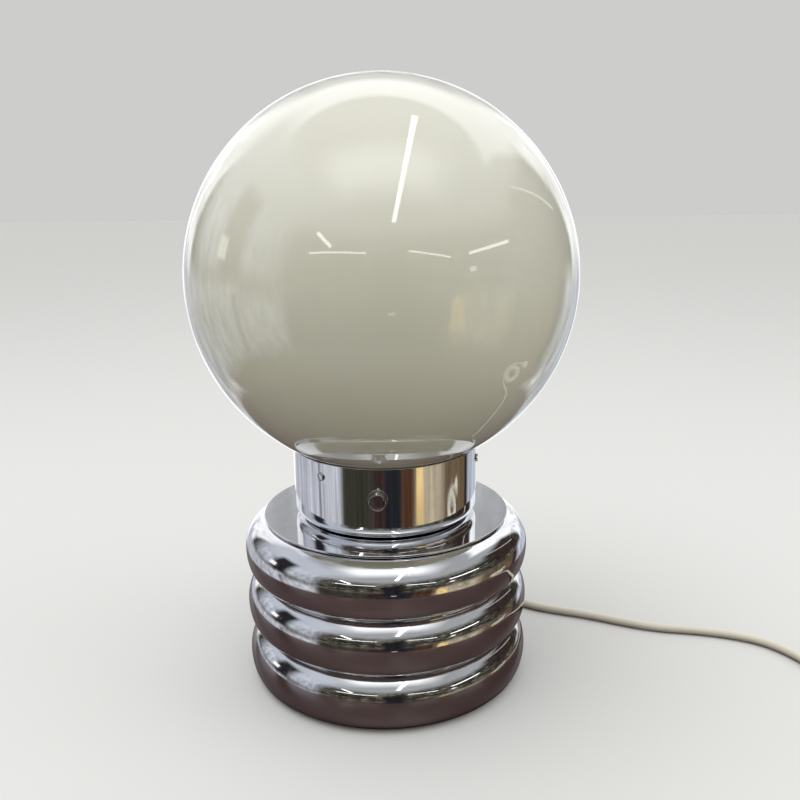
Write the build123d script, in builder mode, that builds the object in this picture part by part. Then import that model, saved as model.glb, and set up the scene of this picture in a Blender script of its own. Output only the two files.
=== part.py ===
"""Glass globe table lamp: an opal globe in a chrome cup on three stacked chrome rings.

Millimetres. +Z is up, the origin is at the middle of the base on the surface that the lamp stands on,
and the push button faces -Y (the front). Azimuths are in degrees from +X, counter-clockwise from above.
"""
from build123d import *
import math
import os

os.makedirs("parts", exist_ok=True)

# ------------------------------------------------------------------ driving sizes: base
pad_thickness = 1.5
pad_clearance = 1.8              # between the pad and the lip around it
sheet = 1.0                      # wall of the pressed rings
ring_pitch = 37.2                # height of one ring
ring_radius = 96.0
ring_upper_depth = 19.5          # how far the shoulder curves in above the widest line
ring_lower_depth = 7.0           # and below it
ring_widest_height = 16.5        # widest line above the ring's lower edge
ring_flange_width = 5.5          # flat flange inside the shoulder
lip_width = 1.2                  # turned-up lip of the lowest ring around the bottom plate
bottom_plate_thickness = 1.5
bottom_dish_radius = 15.0
bottom_dish_height = 5.5
weight_clearance = 3.0           # between the weight and the ring's flange
weight_edge_round = 2.0
weight_height = 14.0
top_plate_overhang = 6.3         # past the flat of the ring under it
top_plate_thickness = 1.5
plate_edge_round = 0.5

# ------------------------------------------------------------------ driving sizes: centre tube
tube_radius = 5.0
tube_bore_radius = 3.4
tube_end_above_pad = 0.5
tube_hole_clearance = 0.2
tube_chamfer = 0.5
washer_radius = 10.5
washer_thickness = 1.0
nut_across_flats = 14.0
nut_height = 4.0
lower_nut_height = 3.5
tube_end_above_nut = 1.4

# ------------------------------------------------------------------ driving sizes: cup and globe
cup_radius = 61.5
cup_height = 47.5
cup_wall = 1.0
cup_corner = 8.0
cup_rim_round = 0.4
globe_radius = 125.0
globe_wall = 3.0
neck_gap = 10.5                  # between the cup and the globe's neck
neck_above_screws = 4.3
lip_gap = 5.5                    # between the cup and the globe's lip
lip_thickness = 2.0
lip_below_screws = 1.7
lip_round = 0.7
gasket_thickness = 0.8
gasket_inset = 1.0               # inside the neck's bore line
gasket_overhang = 0.5            # past the lip
rest_thickness = 1.2
rest_leg_height = 10.0
rest_width_angle = 12.0

# ------------------------------------------------------------------ driving sizes: globe screws
screw_azimuths = {"left": -131.4, "right": -11.4, "rear": 108.6}
screw_drop = 9.3                 # screw axis below the cup's rim
screw_radius = 1.5
screw_thread_clearance = 0.05
screw_head_radius = 2.75
screw_head_thickness = 1.3
screw_head_gap = 0.05
screw_tip_gap = 0.1
nut_seat_gap = 0.02
slot_width = 0.8
slot_depth = 0.6
screw_nut_flats = 5.5
screw_nut_thickness = 2.4

# ------------------------------------------------------------------ driving sizes: switch
switch_azimuth = -94.6
switch_above_plate = 28.2
button_radius = 5.2
button_stand_out = 6.5
button_length = 8.0
button_round = 0.7
button_clearance = 0.08
plunger_radius = 3.0
plunger_length = 9.0
ferrule_radius = 5.9
ferrule_flange_radius = 6.2
ferrule_flange_thickness = 0.4
ferrule_length = 5.0
ferrule_fit = 0.05
ferrule_head_gap = 0.05
switch_nut_radius = 7.2
switch_nut_thickness = 2.0
switch_body_radius = 5.2
switch_body_length = 17.5
switch_collar_radius = 6.8
switch_collar_length = 2.0
ferrule_seat_depth = 0.95
plunger_room = 9.5
terminal_size = 2.4
terminal_length = 4.0

# ------------------------------------------------------------------ driving sizes: lampholder and bulb
bracket_width = 13.0
bracket_thickness = 1.5
bracket_half_span = 18.0
bracket_height = 16.0
bracket_toe = 7.0
holder_radius = 19.5
holder_height = 42.0
holder_floor = 14.0
holder_bore_radius = 14.4
shell_radius = 13.9
shell_wall = 0.55
shell_length = 24.0
holder_rim_round = 0.8
holder_screw_radius = 1.5
holder_screw_head_radius = 1.95
holder_screw_head_height = 1.2
holder_screw_depth = 8.0
terminal_block = 5.0
terminal_offset = 10.5
shell_tab_width = 4.0
shell_tab_reach = 3.0
shell_tab_lap = 1.5
shell_below_rim = 1.0
contact_radius = 5.0
contact_thickness = 0.8
bulb_running_clearance = 0.08
cap_height = 26.0
cap_wall = 0.45
cap_thread_depth = 0.9
cap_thread_pitch = 3.63
insulator_height = 5.0
insulator_overhang = 1.0          # past the end contact
end_contact_radius = 4.6
end_contact_height = 1.2
end_contact_taper = 15.0
bulb_radius = 30.0
bulb_length = 105.0
bulb_neck_radius = 12.4
bulb_wall = 0.8
bulb_cone_angle = 36.0
bulb_fit = 0.1                   # between the cap and the glass and stem inside it
stem_radius = 3.2
stem_foot_height = 6.0
stem_above_cap = 12.0
filament_half_width = 9.0
filament_below_centre = 3.0
filament_drop = 9.0
filament_wire_radius = 0.45

# ------------------------------------------------------------------ driving sizes: cord and leads
cord_radius = 3.1
cord_floor_gap = 0.05
cord_exit_height = 19.0          # the cord leaves at the back of the lowest ring
bush_clearance = 0.1
bush_core_radius = 6.0
bush_flange_radius = 7.8
bush_flange_thickness = 2.2
bush_inner_flange = 2.0
bush_sleeve_length = 20.8
bush_root_radius = 6.2
bush_tip_radius = 4.2
cord_inner_length = 13.0         # sheathed cord inside the ring
lead_radius = 1.15
lead_spacing = 2.8
lead_bend_radius = 5.0
lead_inward_run = 30.0
lead_rise = 22.0
lead_straight_below_plate = 30.0
lead_above_cup_floor = 8.5
lead_path_radius = 35.0          # way round the holder, on the left
lead_path_bearings = (124.0, 158.0, 202.0, 236.0)
grommet_offset = 35.0
grommet_bore_radius = 3.0
grommet_core_radius = 5.6
grommet_flange_radius = 7.6
grommet_flange = 1.4

# ------------------------------------------------------------------ driving sizes: coil and plug
coil_gap = 0.6                   # air between neighbouring turns
coil_outer_radius = 41.5
coil_inward_quarters = 11
coil_outward_quarters = 12
coil_entry_straight = cord_radius * 2
cord_straight_past_bush = 13.0
tail_first_run = 13.0
plug_thickness = 13.7
plug_width = 35.3
plug_shoulder = 16.0
plug_length = 38.0
plug_neck_radius = 4.6
plug_corner = 6.2
plug_pin_radius = 2.0
plug_pin_round = 0.8
plug_pin_spacing = 19.0
plug_pin_length = 19.0

# ------------------------------------------------------------------ levels and places that follow
floor_of_rings = pad_thickness
ring_shoulder_radius = ring_radius - ring_upper_depth
ring_foot_radius = ring_radius - ring_lower_depth
ring_flange_radius = ring_shoulder_radius - ring_flange_width
pad_radius = ring_foot_radius - lip_width - pad_clearance
weight_radius = ring_flange_radius - weight_clearance
top_plate_radius = ring_shoulder_radius + top_plate_overhang
stack_top = floor_of_rings + 3 * ring_pitch
plate_top = stack_top + top_plate_thickness
cup_floor = plate_top + cup_wall
cup_rim = plate_top + cup_height
cup_inner_radius = cup_radius - cup_wall
screw_height = cup_rim - screw_drop
lip_top = screw_height - lip_below_screws
lip_bottom = lip_top - lip_thickness
gasket_bottom = lip_bottom - gasket_thickness
rest_bottom = gasket_bottom - rest_thickness
neck_top = screw_height + neck_above_screws
neck_radius = cup_inner_radius - neck_gap
neck_inner_radius = neck_radius - globe_wall
lip_radius = cup_inner_radius - lip_gap
globe_centre = neck_top + math.sqrt(globe_radius**2 - neck_radius**2)
globe_inner_radius = globe_radius - globe_wall
inner_neck_top = globe_centre - math.sqrt(globe_inner_radius**2 - neck_inner_radius**2)
switch_height = plate_top + switch_above_plate
tube_hole_radius = tube_radius + tube_hole_clearance
bottom_flange = floor_of_rings + bottom_plate_thickness
dish_underside = floor_of_rings + bottom_dish_height
tube_bottom = pad_thickness + tube_end_above_pad
upper_washer = cup_floor
upper_nut = upper_washer + washer_thickness
bracket_floor = upper_nut + nut_height
bracket_nut = bracket_floor + bracket_thickness
tube_top = bracket_nut + nut_height + tube_end_above_nut
holder_bottom = bracket_floor + bracket_height
holder_screw_place = bracket_half_span - bracket_toe / 2
holder_top = holder_bottom + holder_height
contact_level = holder_bottom + holder_floor
bulb_bottom = contact_level + contact_thickness
cap_radius = shell_radius - shell_wall - bulb_running_clearance
cap_top = bulb_bottom + end_contact_height + cap_height
bulb_centre = bulb_bottom + bulb_length - bulb_radius


def radial_plane(azimuth, height, distance):
    """Plane square to the radius at an azimuth, at a distance from the lamp's axis."""
    angle = math.radians(azimuth)
    outward = (math.cos(angle), math.sin(angle), 0)
    return Plane(
        origin=(distance * outward[0], distance * outward[1], height),
        x_dir=(-outward[1], outward[0], 0),
        z_dir=outward,
    )


def spoke(bearing, reach):
    """Horizontal vector of a length at a bearing in degrees."""
    return Vector(reach * math.cos(math.radians(bearing)), reach * math.sin(math.radians(bearing)), 0)


def finish(builder, name):
    """Label a finished piece and write its file."""
    builder.part.label = name
    export_step(builder.part, f"parts/{name}.step")


# ================================================================== base
with BuildPart() as base_pad:
    with BuildSketch():
        Circle(pad_radius)
    extrude(amount=pad_thickness)
finish(base_pad, "base_pad")

# pressed plate with a raised dish in the middle, which hides the tube's lower nut
with BuildPart() as bottom_plate:
    with BuildSketch(Plane.XZ):
        with BuildLine():
            Polyline(
                (bottom_dish_radius, floor_of_rings),
                (pad_radius, floor_of_rings),
                (pad_radius, bottom_flange),
                (bottom_dish_radius + bottom_plate_thickness, bottom_flange),
                (bottom_dish_radius, dish_underside + bottom_plate_thickness),
                (tube_hole_radius, dish_underside + bottom_plate_thickness),
                (tube_hole_radius, dish_underside),
                (bottom_dish_radius - bottom_plate_thickness, dish_underside),
                close=True,
            )
        make_face()
    revolve(axis=Axis.Z)
finish(bottom_plate, "bottom_plate")

with BuildPart() as base_weight:
    with BuildSketch(Plane.XY.offset(bottom_flange)):
        Circle(weight_radius)
    extrude(amount=weight_height)
    fillet(base_weight.edges().filter_by(GeomType.CIRCLE).sort_by(Axis.Z)[-1], weight_edge_round)
    with BuildSketch(Plane.XY.offset(bottom_flange)):
        Circle(bottom_dish_radius + bottom_plate_thickness)
    extrude(amount=dish_underside + bottom_plate_thickness - bottom_flange, mode=Mode.SUBTRACT)
    with BuildSketch(Plane.XY.offset(bottom_flange)):
        Circle(tube_hole_radius)
    extrude(amount=weight_height, mode=Mode.SUBTRACT)
finish(base_weight, "base_weight")


def ring_section(bottom, flange_level):
    """Draw one pressed ring's wall: flat flanges joined by two quarter ellipses, outside and inside."""
    widest = bottom + ring_widest_height
    top = bottom + ring_pitch
    upper_reach = ring_pitch - ring_widest_height
    flange_top = flange_level + sheet
    inner_sine = (widest - flange_top) / (ring_widest_height - sheet)
    inner_start = math.degrees(math.asin(min(inner_sine, 1.0)))
    inner_foot = ring_foot_radius + (ring_lower_depth - sheet) * math.cos(math.radians(inner_start))
    for wall, foot_angle in ((0.0, 90.0), (sheet, inner_start)):
        upper = (ring_upper_depth - wall, upper_reach - wall)
        lower = (ring_lower_depth - wall, ring_widest_height - wall)
        EllipticalCenterArc((ring_shoulder_radius, widest), *upper, start_angle=0, arc_size=90)
        EllipticalCenterArc((ring_foot_radius, widest), *lower, start_angle=0, arc_size=-foot_angle)
    Polyline((ring_shoulder_radius, top), (ring_flange_radius, top), (ring_flange_radius, top - sheet),
             (ring_shoulder_radius, top - sheet))
    if flange_level > bottom:
        lip_inside = ring_foot_radius - lip_width
        Polyline((ring_foot_radius, bottom), (lip_inside, bottom), (lip_inside, flange_level),
                 (ring_flange_radius, flange_level), (ring_flange_radius, flange_top), (inner_foot, flange_top))
    else:
        Polyline((ring_foot_radius, bottom), (ring_flange_radius, bottom), (ring_flange_radius, flange_top),
                 (inner_foot, flange_top))


rings = {}
for level, ring_name in enumerate(("ring_bottom", "ring_middle", "ring_top")):
    ring_foot = floor_of_rings + level * ring_pitch
    ring_flange = bottom_flange if level == 0 else ring_foot
    with BuildPart() as ring:
        with BuildSketch(Plane.XZ):
            with BuildLine():
                ring_section(ring_foot, ring_flange)
            make_face()
        revolve(axis=Axis.Z)
        if level == 0:
            with BuildSketch(radial_plane(90, cord_exit_height, ring_radius - ring_lower_depth)):
                Circle(bush_core_radius + bush_clearance)
            extrude(amount=2 * ring_lower_depth, mode=Mode.SUBTRACT)
    rings[ring_name] = ring
    finish(ring, ring_name)

with BuildPart() as top_plate:
    with BuildSketch(Plane.XY.offset(stack_top)):
        Circle(top_plate_radius)
        Circle(tube_hole_radius, mode=Mode.SUBTRACT)
        with Locations((0, grommet_offset)):
            Circle(grommet_core_radius + bush_clearance, mode=Mode.SUBTRACT)
    extrude(amount=top_plate_thickness)
    rim_edges = top_plate.edges().filter_by(GeomType.CIRCLE).group_by(SortBy.RADIUS)[-1]
    fillet(rim_edges, plate_edge_round)
finish(top_plate, "top_plate")

# ================================================================== centre tube and its nuts
with BuildPart() as centre_tube:
    with BuildSketch(Plane.XY.offset(tube_bottom)):
        Circle(tube_radius)
        Circle(tube_bore_radius, mode=Mode.SUBTRACT)
    extrude(amount=tube_top - tube_bottom)
    tube_ends = centre_tube.edges().filter_by(GeomType.CIRCLE).group_by(SortBy.RADIUS)[-1]
    chamfer(tube_ends, tube_chamfer)
finish(centre_tube, "centre_tube")

washer_levels = {"tube_washer_lower": dish_underside - washer_thickness, "tube_washer_upper": upper_washer}
for washer_name, washer_level in washer_levels.items():
    with BuildPart() as washer:
        with BuildSketch(Plane.XY.offset(washer_level)):
            Circle(washer_radius)
            Circle(tube_hole_radius, mode=Mode.SUBTRACT)
        extrude(amount=washer_thickness)
    finish(washer, washer_name)

nuts = {
    "tube_nut_lower": (dish_underside - washer_thickness - lower_nut_height, lower_nut_height),
    "tube_nut_upper": (upper_nut, nut_height),
    "bracket_nut": (bracket_nut, nut_height),
}
for nut_name, (nut_level, height) in nuts.items():
    with BuildPart() as nut:
        with BuildSketch(Plane.XY.offset(nut_level)):
            RegularPolygon(nut_across_flats / 2, 6, major_radius=False)
            Circle(tube_radius, mode=Mode.SUBTRACT)
        extrude(amount=height)
    finish(nut, nut_name)

# ================================================================== cup that holds the globe
with BuildPart() as cup:
    with BuildSketch(Plane.XY.offset(plate_top)):
        Circle(cup_radius)
    extrude(amount=cup_height)
    fillet(cup.edges().filter_by(GeomType.CIRCLE).sort_by(Axis.Z)[0], cup_corner)
    offset(amount=-cup_wall, openings=cup.faces().sort_by(Axis.Z)[-1])
    with BuildSketch(Plane.XY.offset(plate_top)):
        Circle(tube_hole_radius)
        with Locations((0, grommet_offset)):
            Circle(grommet_core_radius + bush_clearance)
    extrude(amount=2 * cup_wall, mode=Mode.SUBTRACT)
    for azimuth in screw_azimuths.values():
        with BuildSketch(radial_plane(azimuth, screw_height, cup_radius - 2 * cup_wall)):
            Circle(screw_radius + 2 * screw_thread_clearance)
        extrude(amount=3 * cup_wall, mode=Mode.SUBTRACT)
    with BuildSketch(radial_plane(switch_azimuth, switch_height, cup_radius - 3 * cup_wall)):
        Circle(ferrule_radius + 2 * ferrule_fit)
    extrude(amount=4 * cup_wall, mode=Mode.SUBTRACT)
    fillet(cup.edges().filter_by(GeomType.CIRCLE).group_by(Axis.Z)[-1], cup_rim_round)
finish(cup, "cup")

# three bent tabs, spot-welded inside the cup, carry the glass
with BuildPart() as globe_rests:
    for azimuth in screw_azimuths.values():
        start = azimuth - rest_width_angle / 2
        tab_plane = Plane(
            origin=(0, 0, 0),
            x_dir=(math.cos(math.radians(start)), math.sin(math.radians(start)), 0),
            z_dir=(math.sin(math.radians(start)), -math.cos(math.radians(start)), 0),
        )
        with BuildSketch(tab_plane):
            with BuildLine():
                Polyline(
                    (neck_inner_radius, gasket_bottom),
                    (cup_inner_radius, gasket_bottom),
                    (cup_inner_radius, gasket_bottom - rest_leg_height),
                    (cup_inner_radius - rest_thickness, gasket_bottom - rest_leg_height),
                    (cup_inner_radius - rest_thickness, rest_bottom),
                    (neck_inner_radius, rest_bottom),
                    close=True,
                )
            make_face()
        revolve(axis=Axis.Z, revolution_arc=rest_width_angle)
finish(globe_rests, "globe_rests")

with BuildPart() as globe_gasket:
    with BuildSketch(Plane.XY.offset(gasket_bottom)):
        Circle(lip_radius + gasket_overhang)
        Circle(neck_inner_radius + gasket_inset, mode=Mode.SUBTRACT)
    extrude(amount=gasket_thickness)
finish(globe_gasket, "globe_gasket")

with BuildPart() as globe:
    with BuildSketch(Plane.XZ):
        with BuildLine():
            neck_angle = -math.degrees(math.acos(neck_radius / globe_radius))
            inner_angle = -math.degrees(math.acos(neck_inner_radius / globe_inner_radius))
            outer_wall = CenterArc((0, globe_centre), globe_radius, neck_angle, 90 - neck_angle)
            inner_wall = CenterArc((0, globe_centre), globe_inner_radius, inner_angle, 90 - inner_angle)
            Line(outer_wall @ 1, inner_wall @ 1)
            Polyline(
                inner_wall @ 0,
                (neck_inner_radius, lip_bottom),
                (lip_radius, lip_bottom),
                (lip_radius, lip_top),
                (neck_radius, lip_top),
                outer_wall @ 0,
            )
        make_face()
    revolve(axis=Axis.Z)
    lip_edges = globe.edges().filter_by(GeomType.CIRCLE).filter_by(
        lambda edge: abs(edge.radius - lip_radius) < 0.01 * lip_thickness)
    fillet(lip_edges, lip_round)
finish(globe, "globe")

# ================================================================== globe screws and their nuts
screw_head_face = cup_radius + screw_head_gap + screw_head_thickness
for place, azimuth in screw_azimuths.items():
    with BuildPart() as screw:
        with BuildSketch(radial_plane(azimuth, screw_height, neck_radius + screw_tip_gap)):
            Circle(screw_radius)
        extrude(amount=cup_radius + screw_head_gap - neck_radius - screw_tip_gap)
        with BuildSketch(radial_plane(azimuth, screw_height, cup_radius + screw_head_gap)):
            Circle(screw_head_radius)
        extrude(amount=screw_head_thickness)
        with BuildSketch(radial_plane(azimuth, screw_height, screw_head_face)):
            Rectangle(3 * screw_head_radius, slot_width)
        extrude(amount=-slot_depth, mode=Mode.SUBTRACT)
    finish(screw, f"globe_screw_{place}")

screw_nut_seat = math.sqrt(cup_inner_radius**2 - (screw_nut_flats / math.sqrt(3))**2)
with BuildPart() as screw_nuts:
    for azimuth in screw_azimuths.values():
        with BuildSketch(radial_plane(azimuth, screw_height, screw_nut_seat - nut_seat_gap)):
            RegularPolygon(screw_nut_flats / 2, 6, major_radius=False)
            Circle(screw_radius + screw_thread_clearance, mode=Mode.SUBTRACT)
        extrude(amount=-screw_nut_thickness)
finish(screw_nuts, "globe_screw_nuts")

# ================================================================== push switch
button_face = cup_radius + button_stand_out
button_back = button_face - button_length
ferrule_front = cup_radius + ferrule_head_gap + ferrule_flange_thickness
ferrule_back = ferrule_front - ferrule_length
body_front = ferrule_back + ferrule_seat_depth
body_back = body_front - switch_body_length

with BuildPart() as push_button:
    with BuildSketch(radial_plane(switch_azimuth, switch_height, button_face)):
        Circle(button_radius)
    extrude(amount=-button_length)
    front_edge = push_button.edges().filter_by(GeomType.CIRCLE).sort_by(
        lambda edge: math.hypot(edge.arc_center.X, edge.arc_center.Y))[-1]
    fillet(front_edge, button_round)
finish(push_button, "push_button")

with BuildPart() as plunger:
    with BuildSketch(radial_plane(switch_azimuth, switch_height, button_back)):
        Circle(plunger_radius)
    extrude(amount=-plunger_length)
finish(plunger, "switch_plunger")

with BuildPart() as ferrule:
    with BuildSketch(radial_plane(switch_azimuth, switch_height, ferrule_back)):
        Circle(ferrule_radius)
    extrude(amount=ferrule_length)
    with BuildSketch(radial_plane(switch_azimuth, switch_height, cup_radius + ferrule_head_gap)):
        Circle(ferrule_flange_radius)
    extrude(amount=ferrule_flange_thickness)
    with BuildSketch(radial_plane(switch_azimuth, switch_height, ferrule_back)):
        Circle(button_radius + button_clearance)
    extrude(amount=ferrule_length, mode=Mode.SUBTRACT)
finish(ferrule, "switch_ferrule")

switch_nut_seat = math.sqrt(cup_inner_radius**2 - switch_nut_radius**2) - nut_seat_gap
with BuildPart() as switch_nut:
    with BuildSketch(radial_plane(switch_azimuth, switch_height, switch_nut_seat)):
        Circle(switch_nut_radius)
        Circle(ferrule_radius + ferrule_fit, mode=Mode.SUBTRACT)
    extrude(amount=-switch_nut_thickness)
finish(switch_nut, "switch_nut")

# a narrow body with a wider collar that grips the ferrule, so that it passes under the globe's lip
with BuildPart() as switch_body:
    with BuildSketch(radial_plane(switch_azimuth, switch_height, body_back)):
        Circle(switch_body_radius)
    extrude(amount=switch_body_length)
    with BuildSketch(radial_plane(switch_azimuth, switch_height, body_front)):
        Circle(switch_collar_radius)
    extrude(amount=-switch_collar_length)
    with BuildSketch(radial_plane(switch_azimuth, switch_height, body_front)):
        Circle(ferrule_radius + ferrule_fit)
    extrude(amount=-ferrule_seat_depth, mode=Mode.SUBTRACT)
    with BuildSketch(radial_plane(switch_azimuth, switch_height, ferrule_back)):
        Circle(plunger_radius + button_clearance)
    extrude(amount=-plunger_room, mode=Mode.SUBTRACT)
finish(switch_body, "switch_body")

with BuildPart() as switch_terminals:
    with BuildSketch(radial_plane(switch_azimuth, switch_height, body_back)):
        with Locations((-lead_spacing, 0), (lead_spacing, 0)):
            Rectangle(terminal_size, terminal_size)
    extrude(amount=-terminal_length)
finish(switch_terminals, "switch_terminals")

# ================================================================== lampholder
with BuildPart() as holder_bracket:
    with BuildSketch(Plane.XZ.offset(-bracket_width / 2)):
        with BuildLine():
            Polyline(
                (-bracket_half_span, bracket_floor),
                (bracket_half_span, bracket_floor),
                (bracket_half_span, holder_bottom),
                (bracket_half_span - bracket_toe, holder_bottom),
                (bracket_half_span - bracket_toe, holder_bottom - bracket_thickness),
                (bracket_half_span - bracket_thickness, holder_bottom - bracket_thickness),
                (bracket_half_span - bracket_thickness, bracket_nut),
                (bracket_thickness - bracket_half_span, bracket_nut),
                (bracket_thickness - bracket_half_span, holder_bottom - bracket_thickness),
                (bracket_toe - bracket_half_span, holder_bottom - bracket_thickness),
                (bracket_toe - bracket_half_span, holder_bottom),
                (-bracket_half_span, holder_bottom),
                close=True,
            )
        make_face()
    extrude(amount=bracket_width)
    with BuildSketch(Plane.XY.offset(bracket_floor)):
        Circle(tube_hole_radius)
    extrude(amount=bracket_thickness, mode=Mode.SUBTRACT)
    with BuildSketch(Plane.XY.offset(holder_bottom)):
        with Locations((-holder_screw_place, 0), (holder_screw_place, 0)):
            Circle(holder_screw_radius + screw_thread_clearance)
    extrude(amount=-bracket_thickness, mode=Mode.SUBTRACT)
finish(holder_bracket, "holder_bracket")

with BuildPart() as holder_body:
    with BuildSketch(Plane.XY.offset(holder_bottom)):
        Circle(holder_radius)
    extrude(amount=holder_height)
    fillet(holder_body.edges().filter_by(GeomType.CIRCLE), holder_rim_round)
    with BuildSketch(Plane.XY.offset(holder_top)):
        Circle(holder_bore_radius)
    extrude(amount=-(holder_height - holder_floor), mode=Mode.SUBTRACT)
    with BuildSketch(Plane.XY.offset(holder_bottom)):
        with Locations((-holder_screw_place, 0), (holder_screw_place, 0)):
            Circle(holder_screw_radius + screw_thread_clearance)
    extrude(amount=holder_screw_depth, mode=Mode.SUBTRACT)
finish(holder_body, "holder_body")

with BuildPart() as holder_screws:
    with BuildSketch(Plane.XY.offset(holder_bottom - bracket_thickness)):
        with Locations((-holder_screw_place, 0), (holder_screw_place, 0)):
            Circle(holder_screw_radius)
    extrude(amount=bracket_thickness + holder_screw_depth)
    with BuildSketch(Plane.XY.offset(holder_bottom - bracket_thickness)):
        with Locations((-holder_screw_place, 0), (holder_screw_place, 0)):
            Circle(holder_screw_head_radius)
    extrude(amount=-holder_screw_head_height)
finish(holder_screws, "holder_screws")

shell_bottom = holder_top - shell_length - shell_below_rim
with BuildPart() as holder_shell:
    with BuildSketch(Plane.XY.offset(shell_bottom)):
        Circle(shell_radius)
        Circle(shell_radius - shell_wall, mode=Mode.SUBTRACT)
    extrude(amount=shell_length)
    with BuildSketch(Plane.XY.offset(contact_level)):
        with Locations((0, -shell_radius)):
            Rectangle(shell_tab_width, shell_tab_reach, align=(Align.CENTER, Align.MIN))
    extrude(amount=contact_thickness)
    with BuildSketch(Plane.XY.offset(contact_level)):
        with Locations((0, -shell_radius)):
            Rectangle(shell_tab_width, shell_wall, align=(Align.CENTER, Align.MIN))
    extrude(amount=shell_bottom - contact_level + shell_tab_lap)
finish(holder_shell, "holder_shell")

with BuildPart() as holder_contact:
    with BuildSketch(Plane.XY.offset(contact_level)):
        Circle(contact_radius)
    extrude(amount=contact_thickness)
finish(holder_contact, "holder_contact")

with BuildPart() as holder_terminals:
    with BuildSketch(Plane.XY.offset(holder_bottom)):
        with Locations((0, -terminal_offset), (0, terminal_offset)):
            Rectangle(terminal_block, terminal_block)
    extrude(amount=-terminal_block)
finish(holder_terminals, "holder_terminals")

# ================================================================== bulb
with BuildPart() as bulb_end_contact:
    with BuildSketch(Plane.XY.offset(bulb_bottom)):
        Circle(end_contact_radius)
    extrude(amount=end_contact_height, taper=end_contact_taper)
finish(bulb_end_contact, "bulb_end_contact")

insulator_bottom = bulb_bottom + end_contact_height
thread_bottom = insulator_bottom + insulator_height
thread_turns = int((cap_top - thread_bottom) / cap_thread_pitch)
thread_middle = cap_radius - cap_thread_depth / 2
with BuildPart() as bulb_insulator:
    with BuildSketch(Plane.XZ):
        with BuildLine():
            Polyline(
                (0, insulator_bottom),
                (end_contact_radius + insulator_overhang, insulator_bottom),
                (thread_middle - cap_wall - cap_thread_depth, thread_bottom),
                (0, thread_bottom),
                close=True,
            )
        make_face()
    revolve(axis=Axis.Z)
finish(bulb_insulator, "bulb_insulator")

# the cap's thread is drawn as rounded rings on the crest and root circles
with BuildPart() as bulb_cap:
    with BuildSketch(Plane.XZ):
        with BuildLine():
            crest = cap_radius
            root = cap_radius - cap_thread_depth
            level = thread_bottom
            Line((root - cap_wall, level), (root, level))
            for turn in range(thread_turns):
                ThreePointArc((root, level), (crest, level + cap_thread_pitch / 2),
                              (root, level + cap_thread_pitch))
                level += cap_thread_pitch
            Line((root, level), (root, cap_top))
            Line((root, cap_top), (root - cap_wall, cap_top))
            Line((root - cap_wall, cap_top), (root - cap_wall, thread_bottom))
        make_face()
    revolve(axis=Axis.Z)
finish(bulb_cap, "bulb_cap")

stem_shoulder = thread_bottom + stem_foot_height
stem_top = cap_top + stem_above_cap
with BuildPart() as bulb_glass:
    with BuildSketch(Plane.XZ):
        for outset, mode in ((0.0, Mode.ADD), (bulb_wall, Mode.SUBTRACT)):
            ball = bulb_radius - outset
            neck = min(bulb_neck_radius, root - cap_wall) - outset - bulb_fit
            turn = math.radians(bulb_cone_angle)
            side = (ball * math.cos(turn), bulb_centre - ball * math.sin(turn))
            foot = (neck, side[1] - (side[0] - neck) / math.tan(turn))
            with BuildLine():
                CenterArc((0, bulb_centre), ball, -bulb_cone_angle, 90 + bulb_cone_angle)
                Polyline(side, foot, (neck, stem_shoulder), (0, stem_shoulder),
                         (0, bulb_centre + ball))
            make_face(mode=mode)
    revolve(axis=Axis.Z)
finish(bulb_glass, "bulb_glass")

with BuildPart() as bulb_stem:
    with BuildSketch(Plane.XY.offset(thread_bottom)):
        Circle(root - cap_wall - bulb_fit)
    extrude(amount=stem_foot_height)
    with BuildSketch(Plane.XY.offset(stem_shoulder)):
        Circle(stem_radius)
    extrude(amount=stem_top - stem_shoulder)
finish(bulb_stem, "bulb_stem")

filament_top = bulb_centre - filament_below_centre
filament_knee = filament_top - filament_drop
with BuildPart() as bulb_filament:
    with BuildLine() as filament_path:
        FilletPolyline(
            (-stem_radius / 2, 0, stem_top),
            (-stem_radius / 2, 0, stem_top + 4 * filament_wire_radius),
            (-filament_half_width, 0, filament_knee),
            (-filament_half_width, 0, filament_top),
            (filament_half_width, 0, filament_top),
            (filament_half_width, 0, filament_knee),
            (stem_radius / 2, 0, stem_top + 4 * filament_wire_radius),
            (stem_radius / 2, 0, stem_top),
            radius=2 * filament_wire_radius,
        )
    with BuildSketch(Plane(origin=filament_path.wire() @ 0, z_dir=filament_path.wire() % 0)):
        Circle(filament_wire_radius)
    sweep()
finish(bulb_filament, "bulb_filament")

# ================================================================== cord entry
bush_outer_face = ring_radius + bush_flange_thickness
bush_end = bush_outer_face + bush_sleeve_length
bush_inner_face = ring_radius - 2 * sheet - bush_inner_flange
bush_outline = [
    (bush_inner_face, 0),
    (bush_inner_face, bush_flange_radius),
    (bush_outer_face, bush_flange_radius),
    (bush_outer_face, bush_root_radius),
    (bush_end, bush_tip_radius),
    (bush_end, 0),
]
with BuildPart() as cord_bush:
    with BuildSketch(Plane.YZ):
        with BuildLine():
            Polyline(*[(along, cord_exit_height + out) for along, out in bush_outline], close=True)
        make_face()
    revolve(axis=Axis((0, 0, cord_exit_height), (0, 1, 0)))
    with BuildSketch(radial_plane(90, cord_exit_height, ring_radius - ring_lower_depth)):
        Circle(cord_radius + bush_clearance)
    extrude(amount=bush_end, mode=Mode.SUBTRACT)
    with BuildSketch(radial_plane(90, cord_exit_height, 0)):
        Circle(2 * bush_flange_radius)
        Circle(bush_core_radius, mode=Mode.SUBTRACT)
    groove = extrude(amount=bush_outer_face, mode=Mode.PRIVATE)
    add(groove & rings["ring_bottom"].part, mode=Mode.SUBTRACT)
finish(cord_bush, "cord_bush")

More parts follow.
